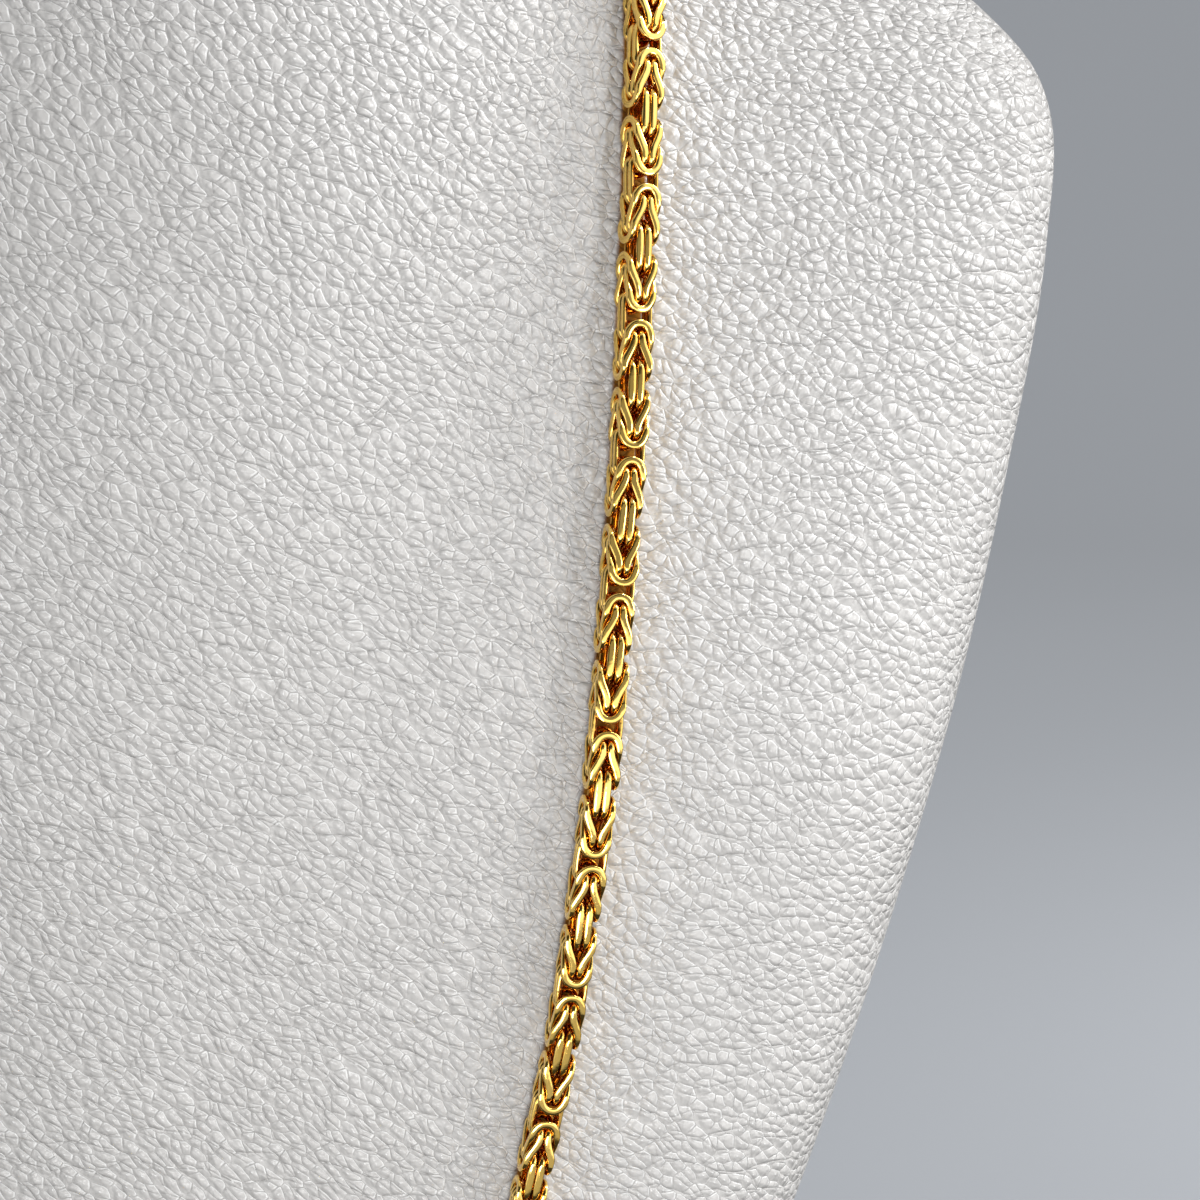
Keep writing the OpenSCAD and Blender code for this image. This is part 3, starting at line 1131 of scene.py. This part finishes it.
@dataclass
class RingShape:
    """The bent rings that a byzantine chain repeats, two of each kind to a half period."""

    pitch: float = 0.0060
    wire: float = 0.00071
    flat_at: float = 0.00137
    dome: float = 0.28
    upright_half_l: float = 0.00225
    upright_half_w: float = 0.00125
    upright_apart: float = 0.00040
    upright_power: float = 2.45
    bow_at: float = 0.0006
    bar_at: float = 0.001136
    half_w: float = 0.00124
    bow_power: float = 2.3
    bar_power: float = 2.7
    bow_apart: float = 0.00118
    bar_apart: float = 0.00037
    bend_start: float = 0.00086
    bend_end: float = 0.00332
    # How far from the chain's middle the painted shade on the chain's inner metal reaches, and over what
    # depth it fades
    bright_from: float = 0.00133
    dim_over: float = 0.00040
    # Points that an oval is drawn with before its wanted points are spread evenly
    outline_points: int = 4001

    def oval(self, half_l: float, half_w: float, low_power: float, high_power: float,
             count: int) -> tuple[np.ndarray, np.ndarray]:
        """Draw a rounded oblong with evenly spread points.

        Args:
            half_l: Half its length.
            half_w: Half its width.
            low_power: Power of its lower end, where 2 is an ellipse.
            high_power: Power of its upper end.
            count: Number of points.

        Returns:
            Places along the length and the width.
        """
        angle = np.linspace(0, 2 * np.pi, self.outline_points)
        c, s = np.cos(angle), np.sin(angle)
        power = 2 / np.where(c < 0, low_power, high_power)
        u = half_l * np.sign(c) * np.abs(c) ** power
        v = half_w * np.sign(s) * np.abs(s) ** power
        run = np.concatenate([[0], np.cumsum(np.hypot(np.diff(u), np.diff(v)))])
        wanted = np.linspace(0, run[-1], count, endpoint=False)
        return np.interp(wanted, run, u), np.interp(wanted, run, v)

    def upright_line(self, count: int) -> np.ndarray:
        """Draw a ring that stands upright between the bows.

        Args:
            count: Number of points.

        Returns:
            The ring's middle line.
        """
        power = self.upright_power
        u, v = self.oval(self.upright_half_l, self.upright_half_w, power, power, count)
        return np.stack([np.full(count, self.upright_apart), v, u], axis=-1)

    def bent_middle(self) -> float:
        """Return how far a bent ring's middle is from its half period's start."""
        return (self.bow_at + self.pitch - self.bar_at) / 2

    def bent_line(self, count: int) -> np.ndarray:
        """Draw a ring that leans in from its bow to its bar.

        Args:
            count: Number of points.

        Returns:
            The ring's middle line.
        """
        half_l = (self.pitch - self.bar_at - self.bow_at) / 2
        u, v = self.oval(half_l, self.half_w, self.bow_power, self.bar_power, count)
        from_bow = half_l + u
        t = np.clip((from_bow - self.bend_start) / (self.bend_end - self.bend_start), 0, 1)
        apart = self.bow_apart + (self.bar_apart - self.bow_apart) * t * t * (3 - 2 * t)
        return np.stack([apart, v, u], axis=-1)


class PairKind(Enum):
    """The three kinds of ring pair in a half period."""

    UPRIGHT = "upright"
    OPENING = "opening"
    CLOSING = "closing"


@dataclass
class RingPair:
    """One pair of rings, planed on the chain's four sides, round its own middle."""

    shape: RingShape
    kind: PairKind
    along: int
    sides: int
    # The cutting works in millimetres, and joins what is closer than this
    work_scale: float = 1000.0
    cut_merge: float = 1e-5

    def line(self) -> np.ndarray:
        """Draw the ring on the +X or +Y side.

        Returns:
            The ring's middle line.
        """
        if self.kind is PairKind.UPRIGHT:
            return self.shape.upright_line(self.along)
        line = self.shape.bent_line(self.along)
        if self.kind is PairKind.OPENING:
            return line
        return np.stack([line[:, 1], line[:, 0], -line[:, 2]], axis=-1)

    def side_way(self) -> np.ndarray:
        """Return the direction from the chain's middle to this ring."""
        return np.array([0.0, 1.0, 0.0]) if self.kind is PairKind.CLOSING else np.array([1.0, 0.0, 0.0])

    def place(self) -> float:
        """Find the pair's middle.

        Returns:
            Its distance from the start of its half period.
        """
        middle = self.shape.bent_middle()
        return {
            PairKind.UPRIGHT: 0.0,
            PairKind.OPENING: middle,
            PairKind.CLOSING: self.shape.pitch - middle,
        }[self.kind]

    def swept(self, line: np.ndarray, way: np.ndarray) -> np.ndarray:
        """Sweep the wire's round section along a closed line.

        Args:
            line: The wire's middle line.
            way: Direction out of the ring's own plane.

        Returns:
            Points, ring by ring of the wire's section.
        """
        tangent = unit(np.roll(line, -1, axis=0) - np.roll(line, 1, axis=0))
        across = unit(np.cross(tangent, way))
        out = np.cross(across, tangent)
        angle = 2 * np.pi * (np.arange(self.sides) + 0.5) / self.sides
        spokes = np.cos(angle)[:, None, None] * out + np.sin(angle)[:, None, None] * across
        return (line + self.shape.wire / 2 * spokes).transpose(1, 0, 2).reshape(-1, 3)

    def plane_down(self, shell: bmesh.types.BMesh) -> None:
        """Flatten what stands past the chain's four planed sides, and leave it a little domed.

        Args:
            shell: The pair's mesh, in the cutting's own scale.
        """
        limit = self.shape.flat_at * self.work_scale
        for axis in (0, 1):
            for sign in (-1.0, 1.0):
                normal = [0.0, 0.0, 0.0]
                normal[axis] = sign
                bmesh.ops.bisect_plane(
                    shell, geom=[*shell.verts, *shell.edges, *shell.faces], dist=self.cut_merge,
                    plane_co=Vector(normal) * limit, plane_no=normal)
        for vert in shell.verts:
            for axis in (0, 1):
                over = abs(vert.co[axis]) - limit
                if over > 0:
                    vert.co[axis] = math.copysign(limit + self.shape.dome * over, vert.co[axis])

    def build(self, finish: bpy.types.Material) -> bpy.types.Object:
        """Build the pair as one mesh.

        Args:
            finish: Its material.

        Returns:
            A pattern object, to be repeated and then removed.
        """
        way = self.side_way()
        first = self.swept(self.line(), way)
        second = first * (1 - 2 * way)
        faces = np.array(grid_faces(self.along, self.sides, closed=True))
        shell = bmesh.new()
        for points, order in ((first, 1), (second, -1)):
            verts = [shell.verts.new(p * self.work_scale) for p in points]
            for face in faces[:, ::order]:
                shell.faces.new([verts[k] for k in face])
        bmesh.ops.recalc_face_normals(shell, faces=shell.faces)
        for face in shell.faces:
            face.smooth = True
        self.plane_down(shell)
        bmesh.ops.scale(shell, vec=Vector((1, 1, 1)) / self.work_scale, verts=shell.verts)
        name = f"pattern_{self.kind.value}_{self.along}"
        mesh = bpy.data.meshes.new(name)
        shell.to_mesh(mesh)
        shell.free()
        mesh.materials.append(finish)
        self.mark_inner_shade(mesh)
        return new_object(name, mesh)

    def mark_inner_shade(self, mesh: bpy.types.Mesh) -> None:
        """Store on each vertex how deep inside the chain it lies, for the painted shade there.

        Args:
            mesh: The pair's mesh.
        """
        inward = mesh.attributes.new(INNER_SHADE, "FLOAT", "POINT")
        for vertex, stored in zip(mesh.vertices, inward.data):
            # Full painted shade deep inside the chain, none on its outer sides
            out = max(abs(vertex.co.x), abs(vertex.co.y))
            stored.value = float(np.clip((self.shape.bright_from - out) / self.shape.dim_over, 0, 1))


class LinkTree:
    """The Geometry Nodes that repeat the three pairs along the route."""

    INPUTS = (
        ("Upright pair", "NodeSocketObject"),
        ("Opening pair", "NodeSocketObject"),
        ("Closing pair", "NodeSocketObject"),
        ("First", "NodeSocketFloat"),
        ("Pitch", "NodeSocketFloat"),
        ("Opening place", "NodeSocketFloat"),
        ("Closing place", "NodeSocketFloat"),
        ("Half periods", "NodeSocketInt"),
        ("Upright pairs", "NodeSocketInt"),
        ("First quarter", "NodeSocketInt"),
        ("Roll", "NodeSocketFloat"),
        ("Sway", "NodeSocketFloat"),
        ("Finish", "NodeSocketMaterial"),
    )
    SEED = 11

    def __init__(self) -> None:
        """Build the inner tree and the outer one."""
        self.stations = self.build_stations()
        self.tree = self.build_tree()

    def build_stations(self) -> bpy.types.NodeTree:
        """Build the inner tree, which sets one kind of pair at even steps along the route.

        Returns:
            A geometry group.
        """
        tree = bpy.data.node_groups.new("Stations along the route", "GeometryNodeTree")
        for name, kind in (
            ("Route", "NodeSocketGeometry"), ("Pair", "NodeSocketGeometry"), ("Start", "NodeSocketFloat"),
            ("Pitch", "NodeSocketFloat"), ("Count", "NodeSocketInt"), ("First quarter", "NodeSocketInt"),
            ("Roll", "NodeSocketFloat"), ("Sway", "NodeSocketFloat"), ("Seed", "NodeSocketInt"),
        ):
            tree.interface.new_socket(name, in_out="INPUT", socket_type=kind)
        tree.interface.new_socket("Pairs", in_out="OUTPUT", socket_type="NodeSocketGeometry")
        graph = NodeGraph(tree)
        given = graph.add("NodeGroupInput").outputs
        points = graph.add("GeometryNodePoints", None, {"Count": given["Count"]}).outputs[0]
        index = graph.add("GeometryNodeInputIndex").outputs[0]
        run = graph.math("MULTIPLY_ADD", index, given["Pitch"], given["Start"])
        lift = graph.add("GeometryNodeInputNamedAttribute", {"data_type": "FLOAT_VECTOR"}, {"Name": "lift"})
        sample = graph.add(
            "GeometryNodeSampleCurve",
            {"mode": "LENGTH", "data_type": "FLOAT_VECTOR", "use_all_curves": True},
            {"Curves": given["Route"], "Value": lift.outputs["Attribute"], "Length": run})
        placed = graph.add("GeometryNodeSetPosition", None,
                           {"Geometry": points, "Position": sample.outputs["Position"]}).outputs[0]
        facing = graph.add(
            "FunctionNodeAxesToRotation", {"primary_axis": "Z", "secondary_axis": "X"},
            {"Primary Axis": sample.outputs["Tangent"], "Secondary Axis": sample.outputs["Value"]}).outputs[0]
        quarters = graph.math("ADD", index, given["First quarter"])
        angle = graph.math("MULTIPLY_ADD", quarters, math.pi / 2, given["Roll"])
        quarter = graph.add("FunctionNodeAxisAngleToRotation", None,
                            {"Axis": (0.0, 0.0, 1.0), "Angle": angle}).outputs[0]
        turned = graph.add("FunctionNodeRotateRotation", {"rotation_space": "LOCAL"},
                           {"Rotation": facing, "Rotate By": quarter}).outputs[0]
        sway = given["Sway"]
        most = graph.add("ShaderNodeCombineXYZ", None, {0: sway, 1: sway, 2: sway}).outputs[0]
        least = graph.vector("MULTIPLY", most, (-1.0, -1.0, -1.0))
        chance = graph.add("FunctionNodeRandomValue", {"data_type": "FLOAT_VECTOR"},
                           {"Min": least, "Max": most, "Seed": given["Seed"]}).outputs[0]
        swayed = graph.add("FunctionNodeEulerToRotation", None, {"Euler": chance}).outputs[0]
        final = graph.add("FunctionNodeRotateRotation", {"rotation_space": "LOCAL"},
                          {"Rotation": turned, "Rotate By": swayed}).outputs[0]
        set_out = graph.add("GeometryNodeInstanceOnPoints", None,
                            {"Points": placed, "Instance": given["Pair"], "Rotation": final})
        graph.add("NodeGroupOutput", None, {"Pairs": set_out.outputs[0]})
        return tree

    def build_tree(self) -> bpy.types.NodeTree:
        """Build the outer tree, which joins the three kinds and gives them their finish.

        Returns:
            The tree for a modifier.
        """
        tree = bpy.data.node_groups.new("Byzantine links", "GeometryNodeTree")
        tree.interface.new_socket("Route", in_out="INPUT", socket_type="NodeSocketGeometry")
        for name, kind in self.INPUTS:
            tree.interface.new_socket(name, in_out="INPUT", socket_type=kind)
        tree.interface.new_socket("Chain", in_out="OUTPUT", socket_type="NodeSocketGeometry")
        graph = NodeGraph(tree)
        given = graph.add("NodeGroupInput").outputs
        route = graph.add("GeometryNodeMeshToCurve", None, {"Mesh": given["Route"]}).outputs[0]
        join = graph.add("GeometryNodeJoinGeometry")
        kinds = (
            ("Upright pair", None, "Upright pairs"),
            ("Opening pair", "Opening place", "Half periods"),
            ("Closing pair", "Closing place", "Half periods"),
        )
        for number, (pair, place, count) in enumerate(kinds):
            source = graph.add("GeometryNodeObjectInfo", {"transform_space": "ORIGINAL"},
                               {"Object": given[pair]})
            start = graph.math("ADD", given["First"], given[place]) if place else given["First"]
            group = graph.add("GeometryNodeGroup", {"node_tree": self.stations}, {
                "Route": route, "Pair": source.outputs["Geometry"], "Start": start, "Pitch": given["Pitch"],
                "Count": given[count], "First quarter": given["First quarter"], "Roll": given["Roll"],
                "Sway": given["Sway"], "Seed": self.SEED + number})
            graph.feed(join.inputs[0], group.outputs[0])
        real = graph.add("GeometryNodeRealizeInstances", None, {"Geometry": join.outputs[0]})
        dressed = graph.add("GeometryNodeSetMaterial", None,
                            {"Geometry": real.outputs[0], "Material": given["Finish"]})
        graph.add("NodeGroupOutput", None, {"Chain": dressed.outputs[0]})
        return tree

    def run(self, piece: bpy.types.Object, values: dict) -> None:
        """Repeat the pairs along an object's route and keep the result as its mesh.

        Args:
            piece: Object whose mesh is the route.
            values: The tree's inputs by name.
        """
        modifier = piece.modifiers.new("links", "NODES")
        modifier.node_group = self.tree
        for socket in self.tree.interface.items_tree:
            if socket.item_type == "SOCKET" and socket.name in values:
                modifier[socket.identifier] = values[socket.name]
        evaluated = piece.evaluated_get(bpy.context.evaluated_depsgraph_get())
        mesh = bpy.data.meshes.new_from_object(evaluated)
        piece.modifiers.remove(modifier)
        route = piece.data
        piece.data = mesh
        mesh.name = piece.name
        bpy.data.meshes.remove(route)


@dataclass
class Stretch:
    """A stretch of the chain, from one half period to another, counted from the first shown gap."""

    name: str
    first: int
    last: int
    fine: bool
    closing: bool = False


@dataclass
class ByzantineChain:
    """The whole chain of bent rings, in a few joined stretches."""

    route: ChainRoute
    finish: bpy.types.Material
    shape: RingShape = field(default_factory=RingShape)
    # Where the highest gap between two bows that the photograph shows lies, from the front's middle
    shown_gap: float = 0.2067
    # How far the chain's front turns from the bust's own, and how far each pair may sway, in degrees
    roll: float = 6.0
    sway: float = 2.2
    fine_counts: tuple[int, int] = (52, 14)
    plain_counts: tuple[int, int] = (16, 6)
    stretches: tuple[Stretch, ...] = (
        Stretch("chain_left", -87, -21, False),
        Stretch("chain_breast", -21, -8, True),
        Stretch("chain_collar", -8, 4, True),
        Stretch("chain_nape", 4, 18, False, closing=True),
    )

    def patterns(self, fine: bool) -> dict[PairKind, tuple[RingPair, bpy.types.Object]]:
        """Build the three pattern pairs.

        Args:
            fine: Whether they are for the stretch that is seen from near.

        Returns:
            Each kind's pair and its object.
        """
        along, sides = self.fine_counts if fine else self.plain_counts
        made = {}
        for kind in PairKind:
            pair = RingPair(self.shape, kind, along, sides)
            made[kind] = (pair, pair.build(self.finish))
        return made

    def route_mesh(self, name: str) -> tuple[bpy.types.Mesh, float]:
        """Lay the route out as a line mesh that knows which way is up.

        Args:
            name: Name of the mesh.

        Returns:
            The mesh, and half the route's length.
        """
        points, lifts = self.route.samples()
        mesh = bpy.data.meshes.new(name)
        mesh.from_pydata(points.tolist(), [(k, k + 1) for k in range(len(points) - 1)], [])
        lift = mesh.attributes.new("lift", "FLOAT_VECTOR", "POINT")
        lift.data.foreach_set("vector", lifts.ravel())
        return mesh, float(np.linalg.norm(np.diff(points, axis=0), axis=1).sum()) / 2

    def build(self) -> list[bpy.types.Object]:
        """Build every stretch and let them stand for the plain solid.

        Returns:
            The stretches.
        """
        links = LinkTree()
        patterns = {fine: self.patterns(fine) for fine in (False, True)}
        pieces = []
        for stretch in self.stretches:
            pairs = patterns[stretch.fine]
            mesh, half_length = self.route_mesh(stretch.name)
            piece = new_object(stretch.name, mesh)
            count = stretch.last - stretch.first
            links.run(piece, {
                "Upright pair": pairs[PairKind.UPRIGHT][1],
                "Opening pair": pairs[PairKind.OPENING][1],
                "Closing pair": pairs[PairKind.CLOSING][1],
                "First": half_length + self.shown_gap + self.shape.pitch * stretch.first,
                "Pitch": self.shape.pitch,
                "Opening place": pairs[PairKind.OPENING][0].place(),
                "Closing place": pairs[PairKind.CLOSING][0].place(),
                "Half periods": count,
                "Upright pairs": count + int(stretch.closing),
                "First quarter": stretch.first % 2,
                "Roll": math.radians(self.roll),
                "Sway": math.radians(self.sway),
                "Finish": self.finish,
            })
            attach(piece, ROOT_BODY)
            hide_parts("chain")
            pieces.append(piece)
        for pairs in patterns.values():
            for _, pattern in pairs.values():
                bpy.data.objects.remove(pattern)
        return pieces


@dataclass
class Fastening:
    """The clasp, its jump rings and the end caps, with softened edges."""

    nodes: dict[str, bpy.types.Object]
    finish: bpy.types.Material
    merge: float = 0.000002
    flat_angle: float = 1.0
    bevels: tuple[tuple[str, str, float], ...] = (
        ("clasp_polished", "clasp", 0.00022),
        ("end_cap_left_polished", "end_cap_left", 0.00010),
        ("end_cap_right_polished", "end_cap_right", 0.00010),
    )
    sharp_angle: float = 28.0
    segments: int = 3

    def soften(self, name: str, node: str, width: float) -> bpy.types.Object:
        """Copy a solid and round its edges.

        Args:
            name: Name of the new piece.
            node: The solid's name.
            width: Width of the rounded edge.

        Returns:
            The new piece, which stands for the solid.
        """
        shell = bmesh.new()
        shell.from_mesh(self.nodes[node].data)
        bmesh.ops.remove_doubles(shell, verts=shell.verts, dist=self.merge)
        bmesh.ops.dissolve_limit(shell, angle_limit=math.radians(self.flat_angle),
                                 verts=shell.verts, edges=shell.edges)
        mesh = bpy.data.meshes.new(name)
        shell.to_mesh(mesh)
        shell.free()
        mesh.shade_smooth()
        mesh.materials.clear()
        mesh.materials.append(self.finish)
        piece = new_object(name, mesh)
        bevel = piece.modifiers.new("edge", "BEVEL")
        bevel.width = width
        bevel.segments = self.segments
        bevel.limit_method = "ANGLE"
        bevel.angle_limit = math.radians(self.sharp_angle)
        bevel.harden_normals = True
        evaluated = piece.evaluated_get(bpy.context.evaluated_depsgraph_get())
        final = bpy.data.meshes.new_from_object(evaluated)
        piece.modifiers.remove(bevel)
        piece.data = final
        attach(piece, ROOT_BODY)
        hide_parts(node)
        return piece

    def dress(self, node: str) -> None:
        """Give a solid whose shape is right its finish.

        Args:
            node: The solid's name.
        """
        mesh = self.nodes[node].data
        mesh.materials.clear()
        mesh.materials.append(self.finish)

    def build(self) -> list[bpy.types.Object]:
        """Build the softened pieces and dress the jump rings.

        Returns:
            The new pieces.
        """
        for node in ("jump_ring_left", "jump_ring_right"):
            self.dress(node)
        return [self.soften(*row) for row in self.bevels]


@dataclass
class Cove:
    """The studio's pale floor, which curves up into a wall behind the bust."""

    finish: bpy.types.Material
    half_width: float = 2.4
    front: float = -0.55
    wall: float = 1.75
    bend: float = 0.55
    height: float = 1.9
    floor_steps: int = 12
    bend_steps: int = 24

    def build(self) -> bpy.types.Object:
        """Build the cove as one smooth sheet.

        Returns:
            The sheet.
        """
        angles = np.linspace(0, np.pi / 2, self.bend_steps)
        bend_y = self.wall - self.bend
        profile = [(y, 0.0) for y in np.linspace(self.front, bend_y, self.floor_steps)[:-1]]
        profile += [(bend_y + self.bend * math.sin(a), self.bend * (1 - math.cos(a))) for a in angles]
        profile.append((self.wall, self.height))
        points = [(x, y, z) for y, z in profile for x in (-self.half_width, self.half_width)]
        faces = [(2 * k, 2 * k + 1, 2 * k + 3, 2 * k + 2) for k in range(len(profile) - 1)]
        mesh = bpy.data.meshes.new("cove")
        mesh.from_pydata(points, [], faces)
        mesh.shade_smooth()
        mesh.materials.append(self.finish)
        cove = new_object("cove", mesh)
        cove.visible_glossy = False
        cove.visible_diffuse = False
        return cove


@dataclass(frozen=True)
class SoftPanel:
    """A soft panel of light, seen in the polished metal, by its direction in degrees."""

    azimuth: float
    elevation: float
    half_width: float
    half_height: float
    soft: float
    strength: float


@dataclass(frozen=True)
class SoftLamp:
    """A broad lamp that lights the leatherette."""

    name: str
    place: tuple[float, float, float]
    aim: tuple[float, float, float]
    size: float
    power: float
    spread: float


@dataclass
class Studio:
    """The light, the panels round the room and the camera."""

    lamps: tuple[SoftLamp, ...] = (
        SoftLamp("side_lamp", (1.15, 0.48, 0.87), (0.05, -0.03, 0.17), 0.60, 12.3, 180.0),
        SoftLamp("key_lamp", (1.00, -0.20, 1.32), (0.05, -0.03, 0.17), 0.20, 5.2, 180.0),
        SoftLamp("low_lamp", (0.14, -0.34, 0.06), (0.05, -0.05, 0.13), 0.12, 0.04, 50.0),
        SoftLamp("right_lamp", (0.45, -0.20, 0.20), (0.08, -0.03, 0.20), 0.12, 0.04, 70.0),
        SoftLamp("floor_lamp", (0.35, 0.42, 0.85), (0.35, 0.42, 0.0), 0.30, 0.32, 50.0),
    )
    panels: tuple[SoftPanel, ...] = (
        SoftPanel(86.0, 26.0, 23.0, 23.0, 26.0, 1.85),
        SoftPanel(0.0, 68.0, 120.0, 20.0, 14.0, 0.7),
        SoftPanel(15.0, -10.5, 60.0, 9.5, 10.0, 1.9),
        SoftPanel(15.0, -28.0, 60.0, 9.0, 9.0, 0.52),
        SoftPanel(30.0, 10.0, 26.0, 12.0, 8.0, 0.32),
        SoftPanel(-120.0, 10.0, 45.0, 36.0, 24.0, 0.45),
    )
    # Light of the bare room in the metal, light on dull surfaces, and the colour of both
    room: float = 0.05
    fill: float = 0.622
    tint: Colour = (0.97, 0.985, 1.0, 1.0)
    azimuth: float = 9.0
    elevation: float = 9.0
    distance: float = 0.330
    target: tuple[float, float, float] = (0.0585, -0.0508, 0.174)
    # Pixels of the 1200 pixel image to a metre at the target
    pixels: float = 12000.0
    image: float = 1200.0
    sensor: float = 36.0
    nearest: float = 0.01

    def way(self, azimuth: float, elevation: float) -> Vector:
        """Return the direction towards a place in the room, in degrees from the front."""
        a, e = math.radians(azimuth), math.radians(elevation)
        return Vector((math.sin(a) * math.cos(e), -math.cos(a) * math.cos(e), math.sin(e)))

    def panel_light(self, graph: NodeGraph, place: bpy.types.NodeSocket,
                    panel: SoftPanel) -> bpy.types.NodeSocket:
        """Draw one soft panel on the room.

        Args:
            graph: The room's graph.
            place: Directions into the room.
            panel: The panel.

        Returns:
            Its light in each direction.
        """
        across_way = tuple(self.way(panel.azimuth + 90, 0.0))
        forward_way = tuple(self.way(panel.azimuth, 0.0))
        across = graph.vector("DOT_PRODUCT", place, across_way)
        forward = graph.vector("DOT_PRODUCT", place, forward_way)
        sideways = graph.math("ABSOLUTE", graph.math("ARCTAN2", across, forward))
        height = graph.math("ARCSINE", graph.vector("DOT_PRODUCT", place, (0.0, 0.0, 1.0)))
        upward = graph.math("ABSOLUTE", graph.math("SUBTRACT", height, math.radians(panel.elevation)))
        light: bpy.types.NodeSocket | float = panel.strength
        for value, half in ((sideways, panel.half_width), (upward, panel.half_height)):
            inside = math.radians(half - panel.soft / 2)
            outside = math.radians(half + panel.soft / 2)
            light = graph.math("MULTIPLY", graph.spread(value, inside, outside, 1.0, 0.0), light)
        return light

    def build_room(self) -> None:
        """Paint the room: even light for dull surfaces, and panels for what mirrors it."""
        world = bpy.data.worlds.new("studio_room")
        world.use_nodes = True
        world.node_tree.nodes.clear()
        graph = NodeGraph(world.node_tree)
        place = graph.add("ShaderNodeTexCoord").outputs["Generated"]
        total: bpy.types.NodeSocket | float = self.room
        for panel in self.panels:
            total = graph.math("MAXIMUM", self.panel_light(graph, place, panel), total)
        mirrored = graph.add("ShaderNodeLightPath").outputs["Is Glossy Ray"]
        dull, shiny = (
            graph.add("ShaderNodeBackground", None, {"Color": self.tint, "Strength": level}).outputs[0]
            for level in (self.fill, total)
        )
        seen = graph.add("ShaderNodeMixShader", None, {0: mirrored, 1: dull, 2: shiny})
        graph.add("ShaderNodeOutputWorld", None, {"Surface": seen.outputs[0]})
        # The room is even, so the surfaces' own rays find its light, and no lamp rays are spent on it
        world.cycles.sampling_method = "NONE"
        bpy.context.scene.world = world

    def build_lamps(self) -> None:
        """Hang the broad lamps."""
        for lamp in self.lamps:
            light = bpy.data.lights.new(lamp.name, "AREA")
            light.shape = "DISK"
            light.size = lamp.size
            light.energy = lamp.power
            light.spread = math.radians(lamp.spread)
            holder = bpy.data.objects.new(lamp.name, light)
            holder.location = lamp.place
            way = Vector(lamp.aim) - Vector(lamp.place)
            holder.rotation_euler = way.to_track_quat("-Z", "Y").to_euler()
            holder.visible_camera = False
            bpy.context.scene.collection.objects.link(holder)

    def build_camera(self) -> None:
        """Set the camera at the photograph's angle."""
        data = bpy.data.cameras.new("camera")
        data.sensor_width = self.sensor
        data.lens = self.sensor * self.pixels * self.distance / self.image
        data.clip_start = self.nearest
        camera = bpy.data.objects.new("camera", data)
        back = self.way(self.azimuth, self.elevation)
        camera.location = Vector(self.target) + self.distance * back
        camera.rotation_euler = (-back).to_track_quat("-Z", "Y").to_euler()
        bpy.context.scene.collection.objects.link(camera)
        bpy.context.scene.camera = camera

    def build(self) -> None:
        """Build the room, the lamps and the camera."""
        self.build_room()
        self.build_lamps()
        self.build_camera()
        bpy.context.scene.view_settings.view_transform = "Standard"


def empty_scene() -> None:
    """Remove what Blender's new scene starts with."""
    for thing in list(bpy.data.objects):
        bpy.data.objects.remove(thing)


def report(pieces: list[bpy.types.Object]) -> None:
    """Log each piece with its number of triangles.

    Args:
        pieces: The pieces.
    """
    for piece in pieces:
        triangles = sum(len(face.vertices) - 2 for face in piece.data.polygons)
        LOG.info("%s: %d triangles", piece.name, triangles)


def main() -> None:
    """Load the frame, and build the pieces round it."""
    logging.basicConfig(level=logging.INFO, format="%(name)s: %(message)s", stream=sys.stdout)
    empty_scene()
    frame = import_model()
    shared = mottle_group()
    gold = PolishedGold("polished_gold", shared).build()
    leather = PebbledLeatherette("pebbled_leatherette", shared).build()
    paint = PaintedStage("stage_paint", shared).build()

    Studio().build()
    Cove(paint).build()
    form = BustForm(front_y=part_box("neck_bust")[0].y)
    route = ChainRoute(form, ClaspPlace())
    report([NeckBust(form, route, leather).build()])
    report(ByzantineChain(route, gold).build())
    report(Fastening(frame["nodes"], gold).build())


if __name__ == "__main__":
    main()
